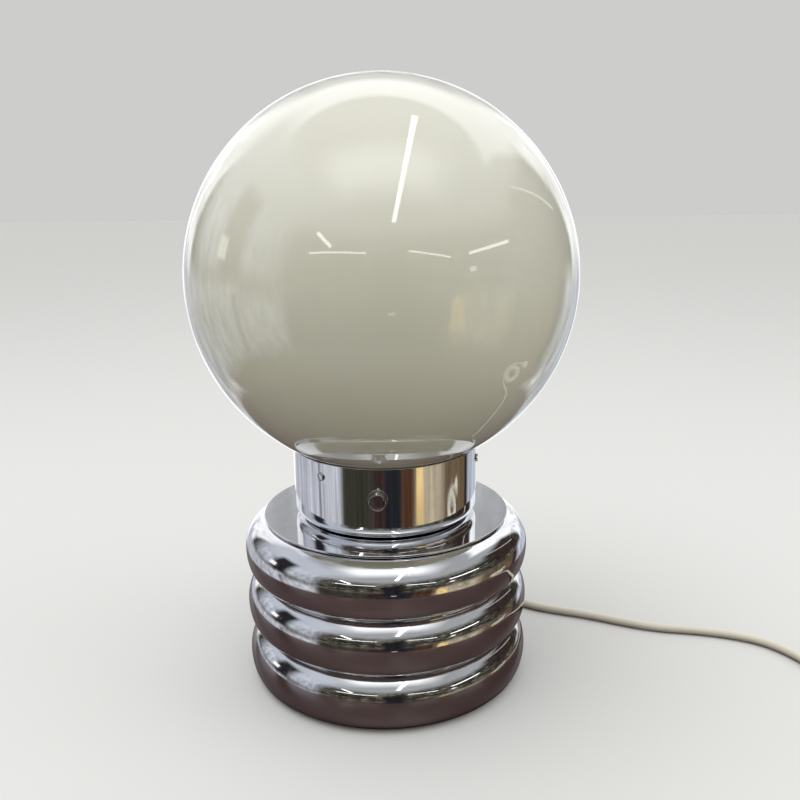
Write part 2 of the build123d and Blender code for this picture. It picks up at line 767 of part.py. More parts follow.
cord_start = ring_radius - cord_inner_length
with BuildPart() as cord_inner:
    with BuildSketch(radial_plane(90, cord_exit_height, cord_start)):
        Circle(cord_radius)
    extrude(amount=bush_end - cord_start)
finish(cord_inner, "cord_inner")

# the grommet lines the hole through the top plate and the cup's floor
grommet_ends = (stack_top - grommet_flange, cup_floor + grommet_flange)
with BuildPart() as lead_grommet:
    with BuildSketch(Plane.XZ.offset(-grommet_offset)):
        with BuildLine():
            Polyline(
                (grommet_bore_radius, grommet_ends[0]),
                (grommet_flange_radius, grommet_ends[0]),
                (grommet_flange_radius, stack_top),
                (grommet_core_radius, stack_top),
                (grommet_core_radius, cup_floor),
                (grommet_flange_radius, cup_floor),
                (grommet_flange_radius, grommet_ends[1]),
                (grommet_bore_radius, grommet_ends[1]),
                close=True,
            )
        make_face()
    revolve(axis=Axis((0, grommet_offset, 0), (0, 0, 1)))
finish(lead_grommet, "lead_grommet")

# single leads, from the sheathed cord up through the grommet to the holder and the switch
lead_side = lead_spacing / 2
lead_level = cup_floor + lead_above_cup_floor
terminal_underside = holder_bottom - terminal_block
switch_terminal_underside = switch_height - terminal_size / 2
terminal_reach = body_back - terminal_length / 2
switch_bearing = math.radians(switch_azimuth)


def switch_terminal(side):
    """Middle of one switch terminal's underside; side is -1 or 1 along the switch's width."""
    across = side * lead_spacing
    return (
        terminal_reach * math.cos(switch_bearing) - across * math.sin(switch_bearing),
        terminal_reach * math.sin(switch_bearing) + across * math.cos(switch_bearing),
    )


def rising_lead(x):
    """Points of a lead from the sheath's end, over the weight and up into the cup."""
    return [
        (x, cord_start, cord_exit_height),
        (x, cord_start - lead_inward_run, cord_exit_height),
        (x, grommet_offset + lead_radius, cord_exit_height + lead_rise),
        (x, grommet_offset, stack_top - lead_straight_below_plate),
        (x, grommet_offset, lead_level),
    ]


live_terminal = switch_terminal(-1)
switched_terminal = switch_terminal(1)
lead_routes = {
    "lead_neutral": rising_lead(lead_side) + [
        (0, terminal_offset, lead_level),
        (0, terminal_offset, terminal_underside),
    ],
    "lead_live": rising_lead(-lead_side) + [
        *[spoke(bearing, lead_path_radius) + Vector(0, 0, lead_level) for bearing in lead_path_bearings],
        (*live_terminal, lead_level),
        (*live_terminal, switch_terminal_underside),
    ],
    "lead_switched": [
        (*switched_terminal, switch_terminal_underside),
        (*switched_terminal, lead_level),
        (0, -terminal_offset, lead_level),
        (0, -terminal_offset, terminal_underside),
    ],
}
for lead_name, lead_points in lead_routes.items():
    with BuildPart() as lead:
        with BuildLine() as lead_path:
            FilletPolyline(*lead_points, radius=lead_bend_radius)
        with BuildSketch(Plane(origin=lead_path.wire() @ 0, z_dir=lead_path.wire() % 0)):
            Circle(lead_radius)
        sweep()
    finish(lead, lead_name)

# ================================================================== free cord, coil and plug
cord_on_floor = cord_radius + cord_floor_gap
cord_route = [
    (0, bush_end, cord_exit_height),
    (0, bush_end + cord_straight_past_bush, cord_exit_height),
    (4.5, 144.5, 17.8),
    (13.0, 154.5, 15.2),
    (25.0, 161.0, 11.8),
    (38.5, 162.5, 8.6),
    (51.5, 158.5, 6.2),
    (62.5, 149.5, 4.6),
    (72.0, 135.5, 3.6),
    (80.5, 117.5, cord_on_floor),
    (88.5, 99.0, cord_on_floor),
    (98.0, 80.5, cord_on_floor),
    (112.0, 66.5, cord_on_floor),
    (131.5, 57.5, cord_on_floor),
    (155.5, 48.5, cord_on_floor),
    (180.0, 35.5, cord_on_floor),
    (204.0, 25.5, cord_on_floor),
    (229.0, 21.0, cord_on_floor),
    (254.0, 13.5, cord_on_floor),
    (274.0, 2.5, cord_on_floor),
    (288.0, -15.5, cord_on_floor),
    (296.5, -38.5, cord_on_floor),
    (307.0, -57.0, cord_on_floor),
    (320.0, -70.0, cord_on_floor),
]
route = [Vector(*point) for point in cord_route]


def fitted_radii(points):
    """Radius of each corner's arc: as large as the shorter of its two runs allows."""
    radii = []
    for before, corner, after in zip(points, points[1:], points[2:]):
        half_turn = math.radians((corner - before).get_angle(after - corner) / 2)
        shorter = min((corner - before).length, (after - corner).length)
        radii.append(0.45 * shorter / math.tan(half_turn))
    return radii


bend_radii = fitted_radii(route)
print("cord bend radii:", [round(radius, 1) for radius in bend_radii])

with BuildPart() as supply_cord:
    with BuildLine() as cord_path:
        FilletPolyline(*route, radius=bend_radii)
    with BuildSketch(Plane(origin=cord_path.wire() @ 0, z_dir=cord_path.wire() % 0)):
        Circle(cord_radius)
    sweep()
free_length = cord_path.wire().length
finish(supply_cord, "supply_cord")

# the coil: quarter turns whose radius shrinks steadily, a half turn that climbs one layer, and out again
turn_pitch = 2 * cord_radius + coil_gap
quarter_step = turn_pitch / 4


def coil_edges(start, heading):
    """Draw the coil's centre line from a start point and heading in degrees, and return its end."""
    place = start + spoke(heading, coil_entry_straight)
    Line(start, place)
    radius = coil_outer_radius
    angle = heading - 90
    sweeps = ([(-quarter_step, 90, 0)] * coil_inward_quarters + [(quarter_step, 180, turn_pitch)]
              + [(quarter_step, 90, 0)] * coil_outward_quarters)
    for step, turn, climb in sweeps:
        middle = place - spoke(angle, radius)
        halfway = middle + spoke(angle + turn / 2, math.hypot(radius, climb / 2)) + Vector(0, 0, climb / 2)
        end = middle + spoke(angle + turn, radius) + Vector(0, 0, climb)
        ThreePointArc(place, halfway, end)
        place = end
        angle += turn
        radius += step
    ahead = spoke(angle + 90, 1.0)
    coil_end = place + ahead * coil_entry_straight
    Line(place, coil_end)
    return coil_end, ahead


last_run = route[-1] - route[-2]
entry_heading = math.degrees(math.atan2(last_run.Y, last_run.X))
with BuildPart() as cord_coil:
    with BuildLine() as coil_path:
        coil_end, coil_direction = coil_edges(route[-1], entry_heading)
    with BuildSketch(Plane(origin=route[-1], z_dir=coil_path.wire() % 0)):
        Circle(cord_radius)
    sweep()
coil_length = coil_path.wire().length
finish(cord_coil, "cord_coil")


# a short free tail from the coil's end to the plug, then the two-pin plug lying flat
plug_axis_height = plug_thickness / 2
plug_drop = plug_axis_height - coil_end.Z
tail_offsets = [
    (18.0, 19.5, 0.2 * plug_drop),
    (25.0, 32.0, 0.6 * plug_drop),
    (28.5, 46.0, plug_drop),
    (28.5, 60.0, plug_drop),
]
tail_route = [
    coil_end,
    coil_end + coil_direction * tail_first_run,
    *[coil_end + Vector(*offset) for offset in tail_offsets],
]
with BuildPart() as cord_tail:
    with BuildLine() as tail_path:
        FilletPolyline(*tail_route, radius=fitted_radii(tail_route))
    with BuildSketch(Plane(origin=coil_end, z_dir=coil_direction)):
        Circle(cord_radius)
    sweep()
tail_length = tail_path.wire().length
finish(cord_tail, "cord_tail")

plug_back = tail_route[-1]


def plug_plane(distance):
    """Plane square to the plug's length, at a distance from its neck."""
    return Plane(origin=plug_back + Vector(0, distance, 0), x_dir=(-1, 0, 0), z_dir=(0, 1, 0))


with BuildPart() as plug_body:
    with BuildSketch(plug_plane(0)):
        Circle(plug_neck_radius)
    with BuildSketch(plug_plane(plug_shoulder)):
        RectangleRounded(plug_width, plug_thickness, plug_corner)
    loft(ruled=True)
    with BuildSketch(plug_plane(plug_shoulder)):
        RectangleRounded(plug_width, plug_thickness, plug_corner)
    extrude(amount=plug_length - plug_shoulder)
finish(plug_body, "plug_body")

with BuildPart() as plug_pins:
    with BuildSketch(plug_plane(plug_length)):
        with GridLocations(plug_pin_spacing, 0, 2, 1):
            Circle(plug_pin_radius)
    extrude(amount=plug_pin_length)
    fillet(plug_pins.edges().filter_by(GeomType.CIRCLE).group_by(Axis.Y)[-1], plug_pin_round)
finish(plug_pins, "plug_pins")


def least_gap_to_itself(path, spacing=2.0, skip=25.0):
    """Least air between two stretches of a tube that are more than `skip` apart along it."""
    count = int(path.length / spacing)
    points = [path.position_at(step / count) for step in range(count + 1)]
    reach = int(skip / spacing)
    nearest = min(
        (points[one] - points[two]).length
        for one in range(len(points))
        for two in range(one + reach, len(points))
    )
    return nearest - 2 * cord_radius


print("coil gap to itself:", round(least_gap_to_itself(coil_path.wire()), 2))
print("coil end:", coil_end, "length:", round(coil_length, 1), "plug back:", plug_back)
print("cord tail radii:", [round(radius, 1) for radius in fitted_radii(tail_route)])
print("whole free cord:", round(free_length + coil_length + tail_length, 1))
print("free cord:", round(free_length, 1), "volume share:",
      round(supply_cord.part.volume / (math.pi * cord_radius**2 * free_length), 4),
      round(cord_coil.part.volume / (math.pi * cord_radius**2 * coil_length), 4))
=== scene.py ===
"""Opal globe lamp on a stack of bulging chrome rings: smooth shells, finishes, cord and studio.

Metres, in the part's own frame: +Z up, the origin in the middle of the base on the floor, and the push
button towards -Y, the front. Azimuths are in degrees from +X, counter-clockwise from above.
"""
from __future__ import annotations

import logging
import math
from dataclasses import dataclass
from enum import Enum
from typing import Iterable, Sequence

import bmesh
import bpy
from mathutils import Matrix, Vector

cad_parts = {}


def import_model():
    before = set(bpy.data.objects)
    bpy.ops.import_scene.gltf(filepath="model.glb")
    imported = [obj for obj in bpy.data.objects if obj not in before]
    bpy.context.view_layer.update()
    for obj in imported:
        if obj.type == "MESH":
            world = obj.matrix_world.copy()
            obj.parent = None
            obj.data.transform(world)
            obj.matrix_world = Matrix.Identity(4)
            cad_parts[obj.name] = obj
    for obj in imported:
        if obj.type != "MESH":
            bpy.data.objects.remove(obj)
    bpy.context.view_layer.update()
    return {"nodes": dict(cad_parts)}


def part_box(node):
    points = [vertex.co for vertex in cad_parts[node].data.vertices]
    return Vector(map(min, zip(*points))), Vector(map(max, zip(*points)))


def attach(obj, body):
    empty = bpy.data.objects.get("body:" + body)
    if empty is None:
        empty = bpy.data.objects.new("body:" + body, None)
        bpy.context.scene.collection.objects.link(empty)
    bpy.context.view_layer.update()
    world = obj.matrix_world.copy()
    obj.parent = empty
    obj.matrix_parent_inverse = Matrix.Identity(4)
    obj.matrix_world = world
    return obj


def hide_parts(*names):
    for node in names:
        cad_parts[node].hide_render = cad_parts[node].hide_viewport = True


LOG = logging.getLogger("lamp")
MM = 0.001
MERGE_DISTANCE = 1e-6

Point = tuple[float, float]
Colour = tuple[float, float, float]


# ------------------------------------------------------------------ places and outlines
def spoke(azimuth: float, reach: float, height: float = 0.0) -> Vector:
    """Point at an azimuth in degrees, a distance from the lamp's axis and a height."""
    angle = math.radians(azimuth)
    return Vector((reach * math.cos(angle), reach * math.sin(angle), height))


def span(node: str) -> tuple[Vector, Vector]:
    """Lowest and highest corner of a CAD node, in millimetres."""
    low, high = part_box(node)
    return Vector(low) / MM, Vector(high) / MM


def outward_place(azimuth: float, height: float) -> Matrix:
    """Place, in millimetres, of a piece whose own axis points outwards from the lamp's axis."""
    angle = math.radians(azimuth)
    outward = Vector((math.cos(angle), math.sin(angle), 0.0))
    across = Vector((-outward.y, outward.x, 0.0))
    rows = [[across[row], outward.cross(across)[row], outward[row]] for row in range(3)]
    return Matrix.Translation((0.0, 0.0, height)) @ Matrix(rows).to_4x4()


def arc(centre: Point, radii: Point, start: float, end: float, steps: int) -> list[Point]:
    """Points along an elliptical arc in the (radius, height) plane.

    Args:
        centre: Middle of the ellipse.
        radii: Its half sizes, outwards and upwards.
        start: First angle in degrees, from the outward direction towards up.
        end: Last angle in degrees.
        steps: Number of stretches between the points.

    Returns:
        The arc's points, both ends included.
    """
    points = []
    for step in range(steps + 1):
        angle = math.radians(start + (end - start) * step / steps)
        points.append((centre[0] + radii[0] * math.cos(angle), centre[1] + radii[1] * math.sin(angle)))
    return points


def divided(outline: Sequence[Point], longest: float) -> list[Point]:
    """Split an outline's long stretches so that none is longer than a limit."""
    points = [outline[0]]
    for start, end in zip(outline, outline[1:]):
        count = max(1, math.ceil(math.dist(start, end) / longest))
        for step in range(1, count + 1):
            share = step / count
            points.append((start[0] + (end[0] - start[0]) * share, start[1] + (end[1] - start[1]) * share))
    return points


def rounded(corners: Sequence[tuple[float, ...]], closed: bool = True, steps: int = 6) -> list[Point]:
    """Round an outline's corners.

    Args:
        corners: The corners in order, each (radius, height) or (radius, height, corner radius).
        closed: Whether the last corner joins the first.
        steps: Number of stretches in each rounded corner.

    Returns:
        The outline's points, the first one repeated at the end if it is closed.
    """
    outline: list[Point] = []
    count = len(corners)
    for index, corner in enumerate(corners):
        here = Vector(corner[:2])
        size = corner[2] if len(corner) > 2 else 0.0
        if size <= 0 or (not closed and index in (0, count - 1)):
            outline.append((here.x, here.y))
            continue
        back = (Vector(corners[index - 1][:2]) - here).normalized()
        ahead = (Vector(corners[(index + 1) % count][:2]) - here).normalized()
        half = back.angle(ahead) / 2
        middle = here + (back + ahead).normalized() * (size / math.sin(half))
        first = here + back * (size / math.tan(half)) - middle
        last = here + ahead * (size / math.tan(half)) - middle
        start = math.degrees(math.atan2(first.y, first.x))
        turn = math.degrees(math.atan2(first.x * last.y - first.y * last.x, first.dot(last)))
        outline += arc((middle.x, middle.y), (size, size), start, start + turn, steps)
    if closed:
        outline.append(outline[0])
    return outline


# ------------------------------------------------------------------ Geometry Nodes
class GrowthTree:
    """A Geometry Nodes tree, with short ways to add its inputs and nodes."""

    def __init__(self, name: str) -> None:
        """Start a tree that takes and gives a geometry."""
        self.group = bpy.data.node_groups.new(name, "GeometryNodeTree")
        for side in ("INPUT", "OUTPUT"):
            self.group.interface.new_socket("Geometry", in_out=side, socket_type="NodeSocketGeometry")
        self.source = self.group.nodes.new("NodeGroupInput")
        self.result = self.group.nodes.new("NodeGroupOutput")

    def input(self, name: str, kind: str) -> bpy.types.NodeSocket:
        """Add a named input of a kind, such as Float, Int or Material."""
        self.group.interface.new_socket(name, in_out="INPUT", socket_type=f"NodeSocket{kind}")
        return self.source.outputs[name]

    def add(self, kind: str, inputs: dict | None = None, **settings: object) -> bpy.types.Node:
        """Add a node, set its properties, and link or set its inputs.

        Args:
            kind: The node's type.
            inputs: Sockets to link, or values to set, by the input's name or index.
            settings: The node's properties.

        Returns:
            The new node.
        """
        node = self.group.nodes.new(kind)
        for name, value in settings.items():
            setattr(node, name, value)
        for name, value in (inputs or {}).items():
            if isinstance(value, bpy.types.NodeSocket):
                self.group.links.new(value, node.inputs[name])
            else:
                node.inputs[name].default_value = value
        return node

    def work_out(self, operation: str, *operands: bpy.types.NodeSocket | float) -> bpy.types.NodeSocket:
        """Work out a number from one or two others."""
        return self.add("ShaderNodeMath", dict(enumerate(operands)), operation=operation).outputs[0]

    def close(self, geometry: bpy.types.NodeSocket) -> bpy.types.GeometryNodeTree:
        """End the tree in real geometry with its material, and return it."""
        material = self.input("Material", "Material")
        real = self.add("GeometryNodeRealizeInstances", {"Geometry": geometry})
        painted = self.add("GeometryNodeSetMaterial", {"Geometry": real.outputs[0], "Material": material})
        self.group.links.new(painted.outputs[0], self.result.inputs["Geometry"])
        return self.group

    def turned(self, outline: bpy.types.NodeSocket, segments: bpy.types.NodeSocket) -> bpy.types.NodeSocket:
        """Turn a row of points about Z into a closed surface, and return it.

        Args:
            outline: Geometry whose points run along the outline, in the XZ plane.
            segments: Number of facets round the axis.
        """
        size = self.add("GeometryNodeAttributeDomainSize", {"Geometry": outline})
        rows = size.outputs["Point Count"]
        grid = self.add("GeometryNodeMeshGrid", {
            "Vertices X": self.work_out("ADD", segments, 1.0), "Vertices Y": rows})
        index = self.add("GeometryNodeInputIndex").outputs[0]
        row = self.work_out("MODULO", index, rows)
        middle = self.work_out("ADD", index, 0.5)
        column = self.work_out("FLOOR", self.work_out("DIVIDE", middle, rows))
        place = self.add("GeometryNodeInputPosition").outputs[0]
        sample = self.add("GeometryNodeSampleIndex", data_type="FLOAT_VECTOR", domain="POINT")
        self.group.links.new(outline, sample.inputs["Geometry"])
        self.group.links.new(place, sample.inputs["Value"])
        self.group.links.new(row, sample.inputs["Index"])
        angle = self.work_out("MULTIPLY", self.work_out("DIVIDE", column, segments), math.tau)
        turned = self.add("ShaderNodeVectorRotate", {
            "Vector": sample.outputs["Value"], "Angle": angle}, rotation_type="Z_AXIS")
        moved = self.add("GeometryNodeSetPosition", {
            "Geometry": grid.outputs["Mesh"], "Position": turned.outputs[0]})
        merged = self.add("GeometryNodeMergeByDistance", {
            "Geometry": moved.outputs[0], "Distance": MERGE_DISTANCE})
        return merged.outputs[0]


def turning_tree() -> bpy.types.GeometryNodeTree:
    """Tree that turns the object's own points into a solid of revolution."""
    tree = GrowthTree("turned_piece")
    segments = tree.input("Segments", "Int")
    return tree.close(tree.turned(tree.source.outputs["Geometry"], segments))


def slotted_tree() -> bpy.types.GeometryNodeTree:
    """Tree that turns a screw from the object's own points, cuts its slot and sets it in the cup's side."""
    tree = GrowthTree("slotted_screw")
    segments = tree.input("Segments", "Int")
    face = tree.input("Head Face", "Float")
    width = tree.input("Slot Width", "Float")
    depth = tree.input("Slot Depth", "Float")
    length = tree.input("Slot Length", "Float")
    turn = tree.input("Slot Turn", "Float")
    azimuth = tree.input("Azimuth", "Float")
    height = tree.input("Height", "Float")
    screw = tree.turned(tree.source.outputs["Geometry"], segments)
    size = tree.add("ShaderNodeCombineXYZ", {
        "X": length, "Y": width, "Z": tree.work_out("MULTIPLY", depth, 2.0)})
    blade = tree.add("GeometryNodeMeshCube", {"Size": size.outputs[0]})
    lift = tree.add("ShaderNodeCombineXYZ", {"Z": face})
    swing = tree.add("ShaderNodeCombineXYZ", {"Z": turn})
    blade = tree.add("GeometryNodeTransform", {
        "Geometry": blade.outputs["Mesh"], "Translation": lift.outputs[0], "Rotation": swing.outputs[0]})
    cut = tree.add("GeometryNodeMeshBoolean", operation="DIFFERENCE", solver="EXACT")
    tree.group.links.new(screw, cut.inputs["Mesh 1"])
    tree.group.links.new(blade.outputs[0], cut.inputs["Mesh 2"])
    tip = tree.add("ShaderNodeCombineXYZ", {"Y": math.pi / 2, "Z": azimuth})
    rise = tree.add("ShaderNodeCombineXYZ", {"Z": height})
    placed = tree.add("GeometryNodeTransform", {
        "Geometry": cut.outputs["Mesh"], "Rotation": tip.outputs[0], "Translation": rise.outputs[0]})
    return tree.close(placed.outputs[0])


class Workshop:
    """Makes finished pieces: turned solids, slotted screws and cut holes, smoothed and painted."""

    def __init__(self, paints: "Paints") -> None:
        """Build the trees once."""
        self.paints = paints
        self.turning = turning_tree()
        self.slotting = slotted_tree()

    def piece(self, name: str, points: Iterable[Sequence[float]],
              faces: Sequence[Sequence[int]] = ()) -> bpy.types.Object:
        """New object with these points and faces."""
        mesh = bpy.data.meshes.new(name)
        mesh.from_pydata([tuple(point) for point in points], [], [tuple(face) for face in faces])
        return new_object(name, mesh)

    def grow(self, piece: bpy.types.Object, tree: bpy.types.GeometryNodeTree, finish: "Finish",
             **values: object) -> bpy.types.Object:
        """Run a tree on a piece and keep the result as its plain mesh.

        Args:
            piece: The object that holds the tree's points.
            tree: The Geometry Nodes tree.
            finish: The finish that the result gets.
            values: The tree's inputs by name; an underscore stands for a space.

        Returns:
            The same object, with its modifier removed.
        """
        modifier = piece.modifiers.new(tree.name, "NODES")
        modifier.node_group = tree
        values["Material"] = self.paints[finish]
        for item in tree.interface.items_tree:
            key = item.name.replace(" ", "_")
            if item.in_out == "INPUT" and key in values:
                modifier[item.identifier] = values[key]
        self.freeze(piece)
        return piece

    def freeze(self, piece: bpy.types.Object) -> None:
        """Turn a piece's evaluated result into its plain mesh, and drop its modifiers."""
        evaluated = piece.evaluated_get(bpy.context.evaluated_depsgraph_get())
        mesh = bpy.data.meshes.new_from_object(evaluated)
        piece.modifiers.clear()
        piece.data = mesh
        mesh.name = piece.name

    def smooth(self, piece: bpy.types.Object, sharp: float = 32.0) -> bpy.types.Object:
        """Merge doubles, point faces outwards, and shade smooth between edges sharper than an angle."""
        mesh = piece.data
        work = bmesh.new()
        work.from_mesh(mesh)
        bmesh.ops.remove_doubles(work, verts=work.verts, dist=MERGE_DISTANCE)
        bmesh.ops.dissolve_degenerate(work, edges=work.edges, dist=MERGE_DISTANCE)
        bmesh.ops.recalc_face_normals(work, faces=work.faces)
        work.to_mesh(mesh)
        work.free()
        mesh.shade_smooth()
        mesh.set_sharp_from_angle(angle=math.radians(sharp))
        weighted = piece.modifiers.new("even_normals", "WEIGHTED_NORMAL")
        weighted.keep_sharp = True
        self.freeze(piece)
        return piece

    def turn(self, name: str, outline: Sequence[Point], finish: "Finish", segments: int = 256,
             place: Matrix | None = None, holes: Sequence["Hole"] = ()) -> bpy.types.Object:
        """Turn an outline into a smooth piece.

        Args:
            name: The piece's name.
            outline: (radius, height) points in millimetres; closed, or from the axis to the axis.
            finish: Its finish.
            segments: Facets round the axis.
            place: Where its axis goes; the lamp's own axis if not given.
            holes: Round holes cut through its wall.

        Returns:
            The finished piece.
        """
        piece = self.piece(name, [(radius * MM, 0.0, height * MM) for radius, height in outline])
        self.grow(piece, self.turning, finish, Segments=segments)
        if place is not None:
            piece.data.transform(in_metres(place))
        if holes:
            self.smooth(piece)
        for hole in holes:
            self.drill(piece, hole)
        return self.smooth(piece)

    def merge(self, name: str, pieces: Sequence[bpy.types.Object]) -> bpy.types.Object:
        """Join finished pieces into one of this name."""
        work = bmesh.new()
        for piece in pieces:
            work.from_mesh(piece.data)
        mesh = pieces[0].data.copy()
        work.to_mesh(mesh)
        work.free()
        for piece in pieces:
            bpy.data.objects.remove(piece)
        mesh.name = name
        return self.smooth(new_object(name, mesh))

    def drill(self, piece: bpy.types.Object, hole: "Hole") -> None:
        """Cut a round hole through a piece's wall."""
        work = bmesh.new()
        bmesh.ops.create_cone(
            work, cap_ends=True, segments=hole.facets, radius1=hole.radius * MM, radius2=hole.radius * MM,
            depth=(hole.far - hole.near) * MM,
            matrix=in_metres(hole.place @ Matrix.Translation((0, 0, (hole.near + hole.far) / 2))))
        mesh = bpy.data.meshes.new("drill")
        work.to_mesh(mesh)
        work.free()
        bit = new_object("drill", mesh)
        self.carve(piece, bit)
        bpy.data.objects.remove(bit)

    def carve(self, piece: bpy.types.Object, tool: bpy.types.Object) -> None:
        """Take another object's shape out of a piece."""
        boolean = piece.modifiers.new("carve", "BOOLEAN")
        boolean.operation = "DIFFERENCE"
        boolean.solver = "EXACT"
        boolean.object = tool
        self.freeze(piece)


@dataclass(frozen=True)
class Hole:
    """A round hole along the Z axis of a place, between two distances along it, in millimetres."""

    place: Matrix
    radius: float
    near: float
    far: float
    facets: int = 64


@dataclass(frozen=True)
class FloorHoles:
    """Holes that the top plate and the cup's floor share: for the tube and for the leads. Millimetres."""

    tube_radius: float = 5.2
    grommet_radius: float = 5.7
    grommet_offset: float = 35.0

    def grommet(self, bottom: float, top: float) -> Hole:
        """Hole for the leads' grommet between two heights."""
        return Hole(Matrix.Translation((0, self.grommet_offset, 0)), self.grommet_radius, bottom, top)


def in_metres(place: Matrix) -> Matrix:
    """The same place with its offset turned from millimetres to metres."""
    scaled = place.copy()
    scaled.translation *= MM
    return scaled


def new_object(name: str, mesh: bpy.types.Mesh) -> bpy.types.Object:
    """Link a new object with this mesh to the scene."""
    piece = bpy.data.objects.new(name, mesh)
    bpy.context.scene.collection.objects.link(piece)
    return piece


def declare(piece: bpy.types.Object, body: str, nodes: Sequence[str]) -> bpy.types.Object:
    """Say which body a piece rides on and which nodes it stands for, and hide those nodes."""
    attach(piece, body)
    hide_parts(*nodes)
    LOG.info("%s on %s for %s", piece.name, body, ", ".join(nodes))
    return piece


# ------------------------------------------------------------------ shader building
class ShaderTree:
    """A shader's node tree, with short ways to add and join nodes."""

    def __init__(self, tree: bpy.types.NodeTree, coordinates: str) -> None:
        """Take a tree, and the coordinates that its patterns lie on."""
        self.tree = tree
        self.place = self.add("ShaderNodeTexCoord").outputs[coordinates]

    def add(self, kind: str, **settings: object) -> bpy.types.Node:
        """Add a node and set its properties."""
        node = self.tree.nodes.new(kind)
        for name, value in settings.items():
            setattr(node, name, value)
        return node

    def join(self, source: bpy.types.NodeSocket, target: bpy.types.NodeSocket) -> None:
        """Link one socket to another."""
        self.tree.links.new(source, target)

    def noise(self, scale: float, detail: float = 3.0, roughness: float = 0.5,
              stretch: Sequence[float] | None = None) -> bpy.types.NodeSocket:
        """Noise over the object's own coordinates.

        Args:
            scale: Features per metre.
            detail: Number of finer layers.
            roughness: Weight of the finer layers.
            stretch: Scale along X, Y and Z, where it isn't even.

        Returns:
            The noise's factor output, about 0.5 on average.
        """
        texture = self.add("ShaderNodeTexNoise")
        texture.inputs["Scale"].default_value = scale
        texture.inputs["Detail"].default_value = detail
        texture.inputs["Roughness"].default_value = roughness
        source = self.place
        if stretch is not None:
            mapping = self.add("ShaderNodeMapping")
            mapping.inputs["Scale"].default_value = stretch
            self.join(source, mapping.inputs["Vector"])
            source = mapping.outputs["Vector"]
        self.join(source, texture.inputs["Vector"])
        return texture.outputs["Factor"] if "Factor" in texture.outputs else texture.outputs["Fac"]

    def remap(self, source: bpy.types.NodeSocket, low: float, high: float, to_low: float,
              to_high: float) -> bpy.types.NodeSocket:
        """Map a value from one range to another, clamped."""
        node = self.add("ShaderNodeMapRange")
        for name, value in (("From Min", low), ("From Max", high), ("To Min", to_low), ("To Max", to_high)):
            node.inputs[name].default_value = value
        self.join(source, node.inputs["Value"])
        return node.outputs["Result"]

    def blend(self, factor: bpy.types.NodeSocket, first: Colour, second: Colour) -> bpy.types.NodeSocket:
        """Mix two colours by a factor."""
        node = self.add("ShaderNodeMix", data_type="RGBA")
        self.join(factor, node.inputs["Factor"])
        node.inputs["A"].default_value = (*first, 1.0)
        node.inputs["B"].default_value = (*second, 1.0)
        return node.outputs["Result"]

    def bump(self, source: bpy.types.NodeSocket, depth: float, strength: float = 1.0,
             under: bpy.types.NodeSocket | None = None) -> bpy.types.NodeSocket:
        """Add relief of a depth in metres from a height, over another relief if one is given."""
        node = self.add("ShaderNodeBump")
        node.inputs["Strength"].default_value = strength
        node.inputs["Distance"].default_value = depth
        self.join(source, node.inputs["Height"])
        if under is not None:
            self.join(under, node.inputs["Normal"])
        return node.outputs["Normal"]


class Shader(ShaderTree):
    """A material on the piece's own coordinates, with a Principled surface."""

    def __init__(self, name: str) -> None:
        """Start the material."""
        self.material = bpy.data.materials.new(name)
        self.material.use_nodes = True
        super().__init__(self.material.node_tree, "Object")
        self.surface = self.tree.nodes["Principled BSDF"]

    def set(self, **values: object) -> None:
        """Set the surface's own sockets; an underscore in a name stands for a space."""
        for name, value in values.items():
            socket = self.surface.inputs[name.replace("_", " ")]
            socket.default_value = (*value, 1.0) if socket.type == "RGBA" else value

    def feed(self, name: str, source: bpy.types.NodeSocket) -> None:
        """Link a socket to one of the surface's inputs."""
        self.join(source, self.surface.inputs[name])


@dataclass(frozen=True)
class ChromeFinish:
    """Chromium plate on pressed steel: mirror bright, with faint haze, wipe marks and sheet waviness."""

    name: str = "chrome_plate"
    colour: Colour = (0.80, 0.81, 0.83)
    haze_colour: Colour = (0.70, 0.70, 0.71)
    polish: float = 0.035
    haze: float = 0.13
    wave_size: float = 18.0
    wave_depth: float = 0.00022
    wave_strength: float = 0.5
    patch_size: float = 24.0
    patch_weight: float = 0.62
    worn_range: Point = (0.50, 0.74)
    haze_range: Point = (0.45, 0.78)
    wipe_size: float = 170.0
    wipe_stretch: tuple[float, float, float] = (1.0, 1.0, 0.12)
    wipe_range: Point = (0.55, 0.80)
    wipe_roughness: float = 0.05
    dust_size: float = 900.0
    dust_range: Point = (0.70, 0.78)
    dust_depth: float = 0.00002
    dust_strength: float = 0.4

    def material(self) -> bpy.types.Material:
        """Build the material."""
        shader = Shader(self.name)
        patches = shader.noise(self.patch_size, detail=5.0, roughness=self.patch_weight)
        wipes = shader.noise(self.wipe_size, detail=2.0, stretch=self.wipe_stretch)
        specks = shader.noise(self.dust_size, detail=1.0)
        worn = shader.remap(patches, *self.worn_range, 0.0, 1.0)
        shader.feed("Base Color", shader.blend(worn, self.colour, self.haze_colour))
        rough = shader.add("ShaderNodeMath", operation="ADD")
        shader.join(shader.remap(patches, *self.haze_range, self.polish, self.haze), rough.inputs[0])
        shader.join(shader.remap(wipes, *self.wipe_range, 0.0, self.wipe_roughness), rough.inputs[1])
        shader.feed("Roughness", rough.outputs[0])
        waves = shader.bump(shader.noise(self.wave_size, detail=1.0), self.wave_depth, self.wave_strength)
        dust = shader.remap(specks, *self.dust_range, 0.0, 1.0)
        shader.feed("Normal", shader.bump(dust, self.dust_depth, self.dust_strength, under=waves))
        shader.set(Metallic=1.0)
        return shader.material


